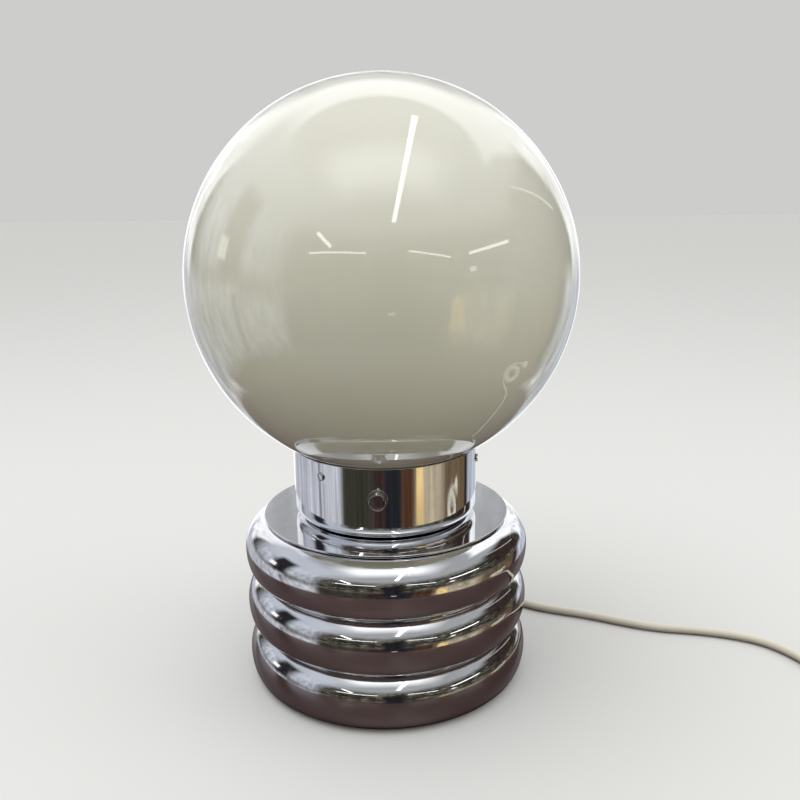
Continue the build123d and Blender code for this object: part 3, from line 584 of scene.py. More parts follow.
@dataclass(frozen=True)
class OpalFinish:
    """Blown opal glass: ivory body under a clear, glossy, faintly wavy skin."""

    name: str = "opal_glass"
    body: Colour = (0.81, 0.80, 0.69)
    pale: Colour = (0.84, 0.835, 0.74)
    cloud_size: float = 9.0
    cloud_range: Point = (0.35, 0.65)
    skin_size: float = 14.0
    skin_depth: float = 0.0004
    skin_strength: float = 0.35
    seed_size: float = 420.0
    seed_range: Point = (0.74, 0.80)
    seed_depth: float = 0.00002
    seed_strength: float = 0.3
    gloss_size: float = 30.0
    gloss_range: Point = (0.4, 0.75)
    roughness: Point = (0.02, 0.06)

    def material(self) -> bpy.types.Material:
        """Build the material."""
        shader = Shader(self.name)
        clouds = shader.remap(shader.noise(self.cloud_size, detail=2.0), *self.cloud_range, 0.0, 1.0)
        shader.feed("Base Color", shader.blend(clouds, self.body, self.pale))
        skin = shader.noise(self.skin_size, detail=1.0)
        seeds = shader.noise(self.seed_size, detail=1.0)
        relief = shader.bump(skin, self.skin_depth, self.skin_strength)
        seeds = shader.remap(seeds, *self.seed_range, 0.0, 1.0)
        shader.feed("Normal", shader.bump(seeds, self.seed_depth, self.seed_strength, under=relief))
        gloss = shader.noise(self.gloss_size, detail=4.0)
        shader.feed("Roughness", shader.remap(gloss, *self.gloss_range, *self.roughness))
        shader.set(IOR=1.5, Subsurface_Weight=0.25, Subsurface_Radius=(0.012, 0.012, 0.010),
                   Subsurface_Scale=0.6, Coat_Weight=1.0, Coat_Roughness=0.01, Coat_IOR=1.8)
        return shader.material


@dataclass(frozen=True)
class PlainFinish:
    """A rigid finish with patchy colour, uneven gloss and a grain of its own size."""

    name: str
    colour: Colour
    second: Colour
    roughness: float
    metallic: float = 0.0
    grain: float = 300.0
    grain_depth: float = 0.00003
    patch: float = 40.0
    stretch: tuple[float, float, float] = (1.0, 1.0, 1.0)
    extra: tuple[tuple[str, float], ...] = ()
    patch_range: Point = (0.38, 0.66)
    grain_range: Point = (0.3, 0.7)
    grain_strength: float = 0.6
    smoothest: float = 0.85
    roughest: float = 1.2

    def material(self) -> bpy.types.Material:
        """Build the material."""
        shader = Shader(self.name)
        patches = shader.remap(shader.noise(self.patch, detail=4.0), *self.patch_range, 0.0, 1.0)
        shader.feed("Base Color", shader.blend(patches, self.colour, self.second))
        grain = shader.noise(self.grain, detail=2.0, stretch=self.stretch)
        low, high = self.smoothest * self.roughness, min(1.0, self.roughest * self.roughness)
        shader.feed("Roughness", shader.remap(grain, *self.grain_range, low, high))
        shader.feed("Normal", shader.bump(grain, self.grain_depth, self.grain_strength))
        shader.set(Metallic=self.metallic, **dict(self.extra))
        return shader.material


class Finish(Enum):
    """Every finish on the lamp."""

    CHROME = ChromeFinish()
    SMALL_CHROME = ChromeFinish(name="turned_chrome", colour=(0.77, 0.77, 0.78), polish=0.06, haze=0.16,
                                wave_size=60.0, wave_depth=0.00004)
    OPAL = OpalFinish()
    STEEL = PlainFinish("zinc_plated_steel", (0.56, 0.57, 0.57), (0.66, 0.66, 0.62), 0.32, metallic=1.0,
                        grain=500.0, stretch=(1.0, 1.0, 0.2))
    IRON = PlainFinish("black_cast_iron", (0.030, 0.030, 0.032), (0.055, 0.053, 0.050), 0.62, grain=700.0,
                       grain_depth=0.00015)
    FELT = PlainFinish("pressed_felt", (0.045, 0.050, 0.047), (0.075, 0.080, 0.074), 0.95, grain=1500.0,
                       grain_depth=0.0003, patch=90.0,
                       extra=(("Sheen Weight", 0.4), ("Sheen Roughness", 0.5)))
    BRASS = PlainFinish("bright_brass", (0.72, 0.53, 0.22), (0.60, 0.43, 0.18), 0.24, metallic=1.0,
                        grain=600.0)
    CAP_METAL = PlainFinish("bulb_cap_metal", (0.70, 0.70, 0.70), (0.60, 0.60, 0.61), 0.28, metallic=1.0,
                            grain=500.0)
    TUNGSTEN = PlainFinish("tungsten_wire", (0.20, 0.20, 0.21), (0.28, 0.27, 0.27), 0.40, metallic=1.0)
    PORCELAIN = PlainFinish("white_porcelain", (0.80, 0.79, 0.75), (0.84, 0.83, 0.80), 0.12, grain=60.0,
                            extra=(("Coat Weight", 0.7), ("Coat Roughness", 0.04)))
    FROSTED = PlainFinish("frosted_bulb_glass", (0.84, 0.84, 0.83), (0.88, 0.88, 0.86), 0.45, grain=900.0,
                          extra=(("Transmission Weight", 0.35), ("IOR", 1.5)))
    CLEAR = PlainFinish("clear_stem_glass", (0.90, 0.92, 0.91), (0.94, 0.95, 0.94), 0.05, grain=90.0,
                        extra=(("Transmission Weight", 0.9), ("IOR", 1.5)))
    BLACK_GLASS = PlainFinish("black_cap_glass", (0.012, 0.012, 0.014), (0.02, 0.02, 0.022), 0.10)
    BLACK_PLASTIC = PlainFinish("black_moulded_plastic", (0.018, 0.018, 0.018), (0.028, 0.028, 0.028), 0.38)
    RUBBER = PlainFinish("black_rubber", (0.020, 0.020, 0.020), (0.034, 0.033, 0.032), 0.70)
    CREAM = PlainFinish("cream_pvc", (0.86, 0.82, 0.71), (0.82, 0.77, 0.65), 0.34, grain=900.0,
                        grain_depth=0.00002, patch=30.0)
    BROWN = PlainFinish("brown_insulation", (0.16, 0.07, 0.035), (0.21, 0.09, 0.05), 0.38)
    BLUE = PlainFinish("blue_insulation", (0.05, 0.15, 0.40), (0.07, 0.19, 0.46), 0.38)


class Paints:
    """The finished materials, each built once."""

    def __init__(self) -> None:
        """Start with none built."""
        self._built: dict[Finish, bpy.types.Material] = {}

    def __getitem__(self, finish: Finish) -> bpy.types.Material:
        """Material of a finish."""
        if finish not in self._built:
            self._built[finish] = finish.value.material()
        return self._built[finish]

    def coat(self, piece: bpy.types.Object, finish: Finish) -> None:
        """Give a piece one finish all over."""
        piece.data.materials.clear()
        piece.data.materials.append(self[finish])


# ------------------------------------------------------------------ camera
@dataclass
class PhotoCamera:
    """The camera that took the photograph, as fitted to the lamp's outline."""

    distance: float = 579.39 * MM
    height: float = 338.85 * MM
    pitch: float = 14.49
    yaw: float = 1.57
    roll: float = -0.50
    focal_px: float = 896.5
    centre_px: Point = (408.26, 401.10)
    image_px: float = 800.0
    sensor_mm: float = 36.0

    def place(self) -> None:
        """Create the camera and make it the scene's."""
        data = bpy.data.cameras.new("photo_camera")
        camera = bpy.data.objects.new("photo_camera", data)
        bpy.context.scene.collection.objects.link(camera)
        pitch, yaw, roll = (math.radians(angle) for angle in (self.pitch, self.yaw, self.roll))
        ahead = Vector((math.sin(yaw) * math.cos(pitch), math.cos(yaw) * math.cos(pitch), -math.sin(pitch)))
        level = Vector((math.cos(yaw), -math.sin(yaw), 0.0))
        above = level.cross(ahead)
        right = level * math.cos(roll) + above * math.sin(roll)
        upward = above * math.cos(roll) - level * math.sin(roll)
        columns = (right, upward, -ahead)
        turn = Matrix([[column[row] for column in columns] for row in range(3)]).to_4x4()
        camera.matrix_world = Matrix.Translation((0.0, -self.distance, self.height)) @ turn
        data.sensor_fit = "HORIZONTAL"
        data.sensor_width = self.sensor_mm
        data.lens = self.sensor_mm * self.focal_px / self.image_px
        data.shift_x = -(self.centre_px[0] - self.image_px / 2) / self.image_px
        data.shift_y = (self.centre_px[1] - self.image_px / 2) / self.image_px
        data.clip_start = 0.01
        bpy.context.scene.camera = camera


# ------------------------------------------------------------------ cord
@dataclass
class SupplyCord:
    """The cream mains cord: out of the bush at the back, over the floor, and into a put-away coil."""

    paints: Paints
    radius: float = 3.1 * MM
    turn_pitch: float = 6.8 * MM
    coil_radius: float = 41.5 * MM
    coil_straight: float = 6.2 * MM
    inward_quarters: int = 11
    outward_quarters: int = 12
    points_per_quarter: int = 4
    real_length: float = 1.80
    route_mm: tuple[tuple[float, float, float], ...] = (
        (0, 119.0, 19.0),
        (0, 132.0, 19.0),
        (4.5, 144.5, 17.8),
        (13.0, 154.5, 15.2),
        (25.0, 161.0, 11.8),
        (38.5, 162.5, 8.6),
        (51.5, 158.5, 6.2),
        (62.5, 149.5, 4.6),
        (72.0, 135.5, 3.6),
        (80.5, 117.5, 3.15),
        (88.5, 99.0, 3.15),
        (98.0, 80.5, 3.15),
        (112.0, 66.5, 3.15),
        (131.5, 57.5, 3.15),
        (155.5, 48.5, 3.15),
        (180.0, 35.5, 3.15),
        (204.0, 25.5, 3.15),
        (229.0, 21.0, 3.15),
        (254.0, 13.5, 3.15),
        (274.0, 2.5, 3.15),
        (288.0, -15.5, 3.15),
        (296.5, -38.5, 3.15),
        (307.0, -57.0, 3.15),
        (320.0, -70.0, 3.15),
    )
    tail_mm: tuple[tuple[float, float, float], ...] = (
        (18.0, 19.5, -0.62),
        (25.0, 32.0, -1.86),
        (28.5, 46.0, -3.10),
        (28.5, 60.0, -3.10),
    )
    tail_first_run: float = 13.0 * MM

    def coil_points(self, start: Vector, heading: float) -> tuple[list[Vector], Vector]:
        """Points along the coil: quarter turns that shrink steadily, a climbing half turn, and out again.

        Args:
            start: Where the free cord ends.
            heading: Its direction there, in degrees.

        Returns:
            The points after start, and the direction in which the coil is left.
        """
        step = self.turn_pitch / 4
        place = start + spoke(heading, self.coil_straight)
        angle, radius = heading - 90, self.coil_radius
        turns = [(-step, 90, 0.0)] * self.inward_quarters + [(step, 180, self.turn_pitch)]
        turns += [(step, 90, 0.0)] * self.outward_quarters
        points = [place]
        for growth, turn, climb in turns:
            middle = place - spoke(angle, radius)
            count = self.points_per_quarter * turn // 90
            lift = Vector((0.0, 0.0, climb))
            for index in range(1, count + 1):
                share = index / count
                eased = (1 - math.cos(math.pi * share)) / 2
                reach = radius / math.cos(math.radians(turn / count / 2)) if index < count else radius
                points.append(middle + spoke(angle + turn * share, reach) + lift * eased)
            place = middle + spoke(angle + turn, radius) + lift
            angle += turn
            radius += growth
        ahead = spoke(angle + 90, 1.0)
        points.append(place + ahead * self.coil_straight)
        return points, ahead

    def route(self) -> list[Vector]:
        """All points of the cord, from the bush to the plug."""
        points = [Vector(point) * MM for point in self.route_mm]
        last = points[-1] - points[-2]
        coil, ahead = self.coil_points(points[-1], math.degrees(math.atan2(last.y, last.x)))
        points += coil
        end = points[-1]
        points.append(end + ahead * self.tail_first_run)
        points += [end + Vector(offset) * MM for offset in self.tail_mm]
        return points

    def build(self) -> bpy.types.Object:
        curve = bpy.data.curves.new("mains_cord", "CURVE")
        curve.dimensions = "3D"
        spline = curve.splines.new("NURBS")
        points = self.route()
        spline.points.add(len(points) - 1)
        for control, point in zip(spline.points, points):
            control.co = (*point, 1.0)
        spline.order_u = 3
        spline.use_endpoint_u = True
        spline.resolution_u = 5
        curve.bevel_depth = self.radius
        curve.bevel_resolution = 5
        curve.use_fill_caps = True
        cord = bpy.data.objects.new("mains_cord", curve)
        bpy.context.scene.collection.objects.link(cord)
        curve.materials.append(self.paints[Finish.CREAM])
        declare(cord, "lamp", ["supply_cord", "cord_coil", "cord_tail"])
        tuple(points[0])
        2 * self.radius
        return cord


# ------------------------------------------------------------------ base
@dataclass
class RingStack:
    """The base: three pressed chrome rings on a felt pad, under a flat chrome plate. Millimetres."""

    shop: Workshop
    sheet: float = 1.0
    upper_depth: float = 19.5
    lower_depth: float = 7.0
    widest_height: float = 16.5
    flange_width: float = 5.5
    lip_width: float = 1.2
    cord_hole_radius: float = 6.1
    cord_hole_reach: Point = (80.0, 110.0)
    floor_holes: FloorHoles = FloorHoles()
    plate_edge: float = 0.5
    pad_edge: float = 0.5

    def ring_outline(self, name: str) -> list[Point]:
        """Closed outline of one ring: flat flanges joined by two quarter ellipses, outside and inside."""
        low, high = span(name)
        widest = low.z + self.widest_height
        shoulder, foot = high.x - self.upper_depth, high.x - self.lower_depth
        flange = shoulder - self.flange_width
        upper, lower = (self.upper_depth, high.z - widest), (self.lower_depth, self.widest_height)
        lowest = name == "ring_bottom"
        flange_level = span("base_weight")[0].z if lowest else low.z
        flange_top = flange_level + self.sheet
        inner_turn = math.degrees(math.asin(min(1.0, (widest - flange_top) / (lower[1] - self.sheet))))
        lip = foot - self.lip_width
        points = [(flange, flange_level)]
        if lowest:
            points += [(lip, flange_level), (lip, low.z)]
        points += arc((foot, widest), lower, -90, 0, 44)
        points += arc((shoulder, widest), upper, 0, 90, 60)[1:]
        points += [(flange, high.z), (flange, high.z - self.sheet)]
        points += arc((shoulder, widest), (upper[0] - self.sheet, upper[1] - self.sheet), 90, 0, 40)
        points += arc((foot, widest), (lower[0] - self.sheet, lower[1] - self.sheet), 0, -inner_turn, 30)[1:]
        points += [(flange, flange_top), (flange, flange_level)]
        return divided(points, 4.0)

    def build(self) -> bpy.types.Object:
        """Build the pad, the rings and the top plate; return the lowest ring."""
        low, high = span("cord_bush")
        exit_place = outward_place(90, low.z / 2 + high.z / 2)
        cord_hole = Hole(exit_place, self.cord_hole_radius, *self.cord_hole_reach)
        lowest = None
        for name in ("ring_bottom", "ring_middle", "ring_top"):
            holes = (cord_hole,) if name == "ring_bottom" else ()
            ring = self.shop.turn(f"chrome_{name}", self.ring_outline(name), Finish.CHROME, holes=holes)
            declare(ring, "lamp", [name])
            lowest = lowest or ring
        low, high = span("top_plate")
        bore = self.floor_holes.tube_radius
        plate = rounded([(bore, low.z), (high.x, low.z, self.plate_edge),
                         (high.x, high.z, self.plate_edge), (bore, high.z)])
        grommet = self.floor_holes.grommet(low.z - 1.0, high.z + 1.0)
        declare(self.shop.turn("chrome_top_plate", divided(plate, 6.0), Finish.CHROME, holes=(grommet,)),
                "lamp", ["top_plate"])
        low, high = span("base_pad")
        pad = rounded([(0.0, low.z), (high.x, low.z, self.pad_edge), (high.x, high.z, self.pad_edge),
                       (0.0, high.z)], closed=False)
        declare(self.shop.turn("felt_base_pad", divided(pad, 10.0), Finish.FELT, segments=128),
                "lamp", ["base_pad"])
        return lowest


# ------------------------------------------------------------------ cup, its screws and the switch
@dataclass
class GlobeCup:
    """The chrome cup with its three slotted screws and the push switch's button and collar. Millimetres."""

    shop: Workshop
    wall: float = 1.0
    corner: float = 8.0
    rim_round: float = 0.4
    floor_holes: FloorHoles = FloorHoles()
    screw_hole_radius: float = 1.6
    screw_azimuths: tuple[tuple[str, float], ...] = (("left", -131.4), ("right", -11.4), ("rear", 108.6))
    slot_turns: tuple[float, ...] = (25.0, 70.0, 8.0)
    screw_drop: float = 9.3
    screw_tip: float = 50.1
    screw_radius: float = 1.5
    screw_root: float = 1.27
    thread_pitch: float = 0.5
    plain_shank: float = 1.0
    head_seat: float = 61.55
    head_radius: float = 2.75
    head_height: float = 1.3
    slot_width: float = 0.8
    slot_depth: float = 0.6
    switch_azimuth: float = -94.6
    switch_above_floor: float = 28.2
    ferrule_radius: float = 5.9
    ferrule_gap: float = 0.1
    ferrule_bore: float = 5.28
    ferrule_flange: float = 6.2
    ferrule_reach: tuple[float, float, float] = (56.95, 61.55, 61.95)
    button_radius: float = 5.2
    button_reach: tuple[float, float] = (60.0, 68.0)
    button_dome: float = 0.45

    def build(self) -> None:
        """Build the cup, the screws, the ferrule and the button."""
        low, high = span("cup")
        radius, inner = high.x, high.x - self.wall
        screw_height = high.z - self.screw_drop
        switch_height = low.z + self.switch_above_floor
        switch_place = outward_place(self.switch_azimuth, switch_height)
        bore = self.floor_holes.tube_radius
        outline = rounded([(bore, low.z), (radius, low.z, self.corner),
                           (radius, high.z, self.rim_round), (inner, high.z, self.rim_round),
                           (inner, low.z + self.wall, self.corner - self.wall),
                           (bore, low.z + self.wall)], steps=16)
        holes = [Hole(outward_place(azimuth, screw_height), self.screw_hole_radius, inner - 2, radius + 2)
                 for _, azimuth in self.screw_azimuths]
        holes.append(Hole(switch_place, self.ferrule_radius + self.ferrule_gap, inner - 3, radius + 2))
        holes.append(self.floor_holes.grommet(low.z - 1, low.z + 3))
        cup = self.shop.turn("chrome_cup", divided(outline, 2.5), Finish.CHROME, holes=holes)
        declare(cup, "lamp", ["cup"])
        for (side, azimuth), turn in zip(self.screw_azimuths, self.slot_turns):
            self.screw(side, azimuth, turn, screw_height)
        back, seat, front = self.ferrule_reach
        ferrule = rounded([(self.ferrule_bore, back), (self.ferrule_radius, back, 0.2),
                           (self.ferrule_radius, seat), (self.ferrule_flange, seat, 0.05),
                           (self.ferrule_flange, front, 0.15), (self.ferrule_bore, front, 0.15)])
        declare(self.shop.turn("switch_collar", ferrule, Finish.SMALL_CHROME, 96, switch_place),
                "lamp", ["switch_ferrule"])
        inside, face = self.button_reach
        button = rounded([(0.0, inside), (self.button_radius, inside, 0.4),
                          (self.button_radius, face - self.button_dome)], closed=False)
        button += arc((0.0, face - self.button_dome), (self.button_radius, self.button_dome), 0, 90, 20)[1:]
        declare(self.shop.turn("switch_button", button, Finish.SMALL_CHROME, 96, switch_place),
                "button", ["push_button"])

    def screw(self, side: str, azimuth: float, turn: float, height: float) -> None:
        """Build one slotted screw: threaded shank, rounded head, slot."""
        head_face = self.head_seat + self.head_height
        outline: list[Point] = [(0.0, self.screw_tip), (self.screw_root - 0.35, self.screw_tip)]
        level = self.screw_tip + 0.3
        while level + self.thread_pitch < self.head_seat - self.plain_shank:
            outline += [(self.screw_root, level), (self.screw_radius, level + self.thread_pitch / 2)]
            level += self.thread_pitch
        outline += [(self.screw_root, level), (self.screw_radius, level + self.thread_pitch / 2)]
        outline += rounded([(self.screw_radius, self.head_seat), (self.head_radius, self.head_seat, 0.12),
                            (self.head_radius, head_face, 0.55), (0.0, head_face)], closed=False)
        screw = self.shop.piece(f"slotted_screw_{side}",
                                [(radius * MM, 0.0, place * MM) for radius, place in outline])
        self.shop.grow(screw, self.shop.slotting, Finish.SMALL_CHROME, Segments=48,
                       Head_Face=head_face * MM, Slot_Width=self.slot_width * MM,
                       Slot_Depth=self.slot_depth * MM, Slot_Length=4 * self.head_radius * MM,
                       Slot_Turn=math.radians(turn), Azimuth=math.radians(azimuth), Height=height * MM)
        self.shop.smooth(screw)
        declare(screw, f"screw_{side}", [f"globe_screw_{side}"])


# ------------------------------------------------------------------ globe
@dataclass
class OpalGlobe:
    """The blown opal globe with its short neck and the lip that the screws hold down. Millimetres."""

    shop: Workshop
    wall: float = 3.0
    neck_radius: float = 50.0
    lip_radius: float = 55.0
    lip_height: float = 2.0
    lip_round: float = 0.7

    def build(self) -> None:
        """Build the globe."""
        low, high = span("globe")
        radius = high.x
        centre = high.z - radius
        inner_radius, inner_neck = radius - self.wall, self.neck_radius - self.wall
        lip_top = low.z + self.lip_height
        neck_turn = math.degrees(math.acos(self.neck_radius / radius))
        inner_turn = math.degrees(math.acos(inner_neck / inner_radius))
        outline = rounded([(inner_neck, low.z), (self.lip_radius, low.z, self.lip_round),
                           (self.lip_radius, lip_top, self.lip_round), (self.neck_radius, lip_top)],
                          closed=False)
        outline += arc((0.0, centre), (radius, radius), -neck_turn, 90, 120)
        outline += arc((0.0, centre), (inner_radius, inner_radius), 90, -inner_turn, 60)
        outline.append(outline[0])
        globe = self.shop.turn("opal_globe", divided(outline, 6.0), Finish.OPAL)
        declare(globe, "lamp", ["globe"])


# ------------------------------------------------------------------ cord entry and plug
@dataclass
class CordEnds:
    """What holds the cord: the ribbed bush in the lowest ring, and the flat two-pin plug. Millimetres."""

    shop: Workshop
    bush_bore: float = 3.2
    bush_flange: float = 7.8
    bush_flange_end: float = 98.2
    bush_root: float = 6.2
    bush_tip: float = 4.2
    rib_count: int = 5
    rib_depth: float = 0.7
    plug_shoulder: float = 16.0
    plug_neck: float = 4.6
    plug_edge: float = 2.2
    plug_sides: int = 72
    round_power: float = 2.0
    flat_power: float = 3.6
    pin_radius: float = 2.0
    pin_spacing: float = 19.0
    pin_sleeve: float = 10.0

    def bush(self, ring: bpy.types.Object) -> None:
        """Build the bush: a flanged plug with a tapering, ribbed tail, grooved by the ring's wall."""
        low, high = span("cord_bush")
        start, tail = low.y, self.bush_flange_end
        outline: list[tuple[float, ...]] = [
            (self.bush_bore, start), (self.bush_flange, start, 0.5), (self.bush_flange, tail, 0.8),
            (self.bush_root, tail, 0.5)]
        length = (high.y - tail) / (self.rib_count + 0.5)
        for rib in range(self.rib_count):
            near = tail + length * (rib + 0.55)
            outer = self.bush_root + (self.bush_tip - self.bush_root) * (near - tail) / (high.y - tail)
            gap = 0.45 * length
            outline += [(outer, near, 0.25), (outer - self.rib_depth, near, 0.2),
                        (outer - self.rib_depth, near + gap, 0.2), (outer, near + gap, 0.25)]
        outline += [(self.bush_tip, high.y, 0.4), (self.bush_bore, high.y)]
        place = outward_place(90, (low.z + high.z) / 2)
        bush = self.shop.turn("cord_strain_bush", rounded(outline, steps=4), Finish.RUBBER, 64, place)
        self.shop.carve(bush, ring)
        self.shop.smooth(bush)
        declare(bush, "lamp", ["cord_bush"])

    def plug(self) -> None:
        """Build the plug's moulded body, its pins and their sleeves."""
        low, high = span("plug_body")
        centre = (low + high) / 2
        half_width, half_depth = (high.x - low.x) / 2, (high.z - low.z) / 2
        length, sides = high.y - low.y, self.plug_sides
        stations = []
        for step in range(25):
            share = step / 24
            eased = share * share * (3 - 2 * share)
            stations.append((share * self.plug_shoulder,
                             self.plug_neck + (half_width - self.plug_neck) * eased,
                             self.plug_neck + (half_depth - self.plug_neck) * eased,
                             self.round_power + (self.flat_power - self.round_power) * eased))
        front = length - self.plug_edge
        stations += [(self.plug_shoulder + (front - self.plug_shoulder) * step / 6, half_width, half_depth,
                      self.flat_power) for step in range(1, 7)]
        for step in range(1, 9):
            turn = math.radians(90 * step / 8)
            inset = self.plug_edge * (1 - math.cos(turn))
            stations.append((front + self.plug_edge * math.sin(turn), half_width - inset, half_depth - inset,
                             self.flat_power))
        points, faces = [], []
        for reach, wide, deep, power in stations:
            for side in range(sides):
                turn = math.tau * side / sides
                across, upward = math.cos(turn), math.sin(turn)
                points.append((centre.x + math.copysign(abs(across) ** (2 / power), across) * wide,
                               low.y + reach,
                               centre.z + math.copysign(abs(upward) ** (2 / power), upward) * deep))
        for row in range(len(stations) - 1):
            for side in range(sides):
                after = (side + 1) % sides
                faces.append((row * sides + side, row * sides + after, (row + 1) * sides + after,
                              (row + 1) * sides + side))
        faces += [tuple(range(sides)), tuple(reversed(range((len(stations) - 1) * sides, len(points))))]
        metres = [[value * MM for value in point] for point in points]
        body = self.shop.piece("plug_moulded_body", metres, faces)
        self.shop.paints.coat(body, Finish.CREAM)
        self.shop.smooth(body, 40.0)
        declare(body, "lamp", ["plug_body"])
        pins_low, pins_high = span("plug_pins")
        tip = pins_high.y - pins_low.y
        pin = rounded([(0.0, -1.0), (self.pin_radius - 0.15, -1.0), (self.pin_radius - 0.15, self.pin_sleeve),
                       (self.pin_radius, self.pin_sleeve + 0.2), (self.pin_radius, tip, 0.9), (0.0, tip)],
                      closed=False)
        sleeve = rounded([(self.pin_radius - 0.15, 0.0), (self.pin_radius, 0.0),
                          (self.pin_radius, self.pin_sleeve, 0.1),
                          (self.pin_radius - 0.15, self.pin_sleeve)])
        for name, outline, finish, nodes in (("plug_metal_pins", pin, Finish.BRASS, ["plug_pins"]),
                                             ("plug_pin_sleeves", sleeve, Finish.BLACK_PLASTIC, [])):
            pair = []
            for side in (-0.5, 0.5):
                place = outward_place(90, centre.z)
                place.translation += Vector((centre.x + side * self.pin_spacing, pins_low.y, 0.0))
                pair.append(self.shop.turn(f"{name}_{side}", outline, finish, 48, place))
            joined = self.shop.merge(name, pair)
            declare(joined, "lamp", nodes)

    def build(self, ring: bpy.types.Object) -> None:
        """Build the bush and the plug."""
        self.bush(ring)
        self.plug()


# ------------------------------------------------------------------ what the shells hide
@dataclass
class InnerParts:
    """Finishes of the CAD pieces that keep their own shape, inside the cup, the base and the globe."""

    paints: Paints
    finishes: tuple[tuple[Finish, str], ...] = (
        (Finish.STEEL, "bottom_plate centre_tube tube_washer_lower tube_washer_upper tube_nut_lower "
                       "tube_nut_upper bracket_nut globe_rests globe_screw_nuts switch_nut holder_bracket "
                       "holder_screws"),
        (Finish.IRON, "base_weight"),
        (Finish.RUBBER, "globe_gasket lead_grommet"),
        (Finish.BLACK_PLASTIC, "switch_body switch_plunger"),
        (Finish.BRASS, "switch_terminals holder_terminals holder_contact holder_shell bulb_end_contact"),
        (Finish.PORCELAIN, "holder_body"),
        (Finish.CAP_METAL, "bulb_cap"),
        (Finish.BLACK_GLASS, "bulb_insulator"),
        (Finish.FROSTED, "bulb_glass"),
        (Finish.CLEAR, "bulb_stem"),
        (Finish.TUNGSTEN, "bulb_filament"),
        (Finish.CREAM, "cord_inner"),
        (Finish.BROWN, "lead_live lead_switched"),
        (Finish.BLUE, "lead_neutral"),
    )

    def dress(self, nodes: dict[str, bpy.types.Object]) -> None:
        """Give each of these nodes its finish."""
        for finish, names in self.finishes:
            for name in names.split():
                self.paints.coat(nodes[name], finish)
                LOG.info("%s keeps its CAD shape, in %s", name, finish.value.name)


# ------------------------------------------------------------------ studio
@dataclass(frozen=True)
class LightTube:
    """A long light that the chrome and the glass mirror, between two (bearing, elevation) ends."""

    start: Point
    end: Point
    half_width: float
    strength: float
    colour: Colour = (1.0, 0.98, 0.95)


@dataclass(frozen=True)
class Card:
    """A soft-edged studio card that the chrome mirrors, round a (bearing, elevation) middle."""

    middle: Point
    half_width: float
    half_height: float
    colour: Colour
    edge: float = 4.0


@dataclass(frozen=True)
class Softbox:
    """A round soft lamp that the chrome doesn't mirror as a lamp, in metres and watts."""

    name: str
    place: tuple[float, float, float]
    size: float
    power: float


def ray(bearing: float, elevation: float) -> Vector:
    """Unit vector towards a bearing and an elevation in degrees."""
    return spoke(bearing, math.cos(math.radians(elevation)), math.sin(math.radians(elevation)))


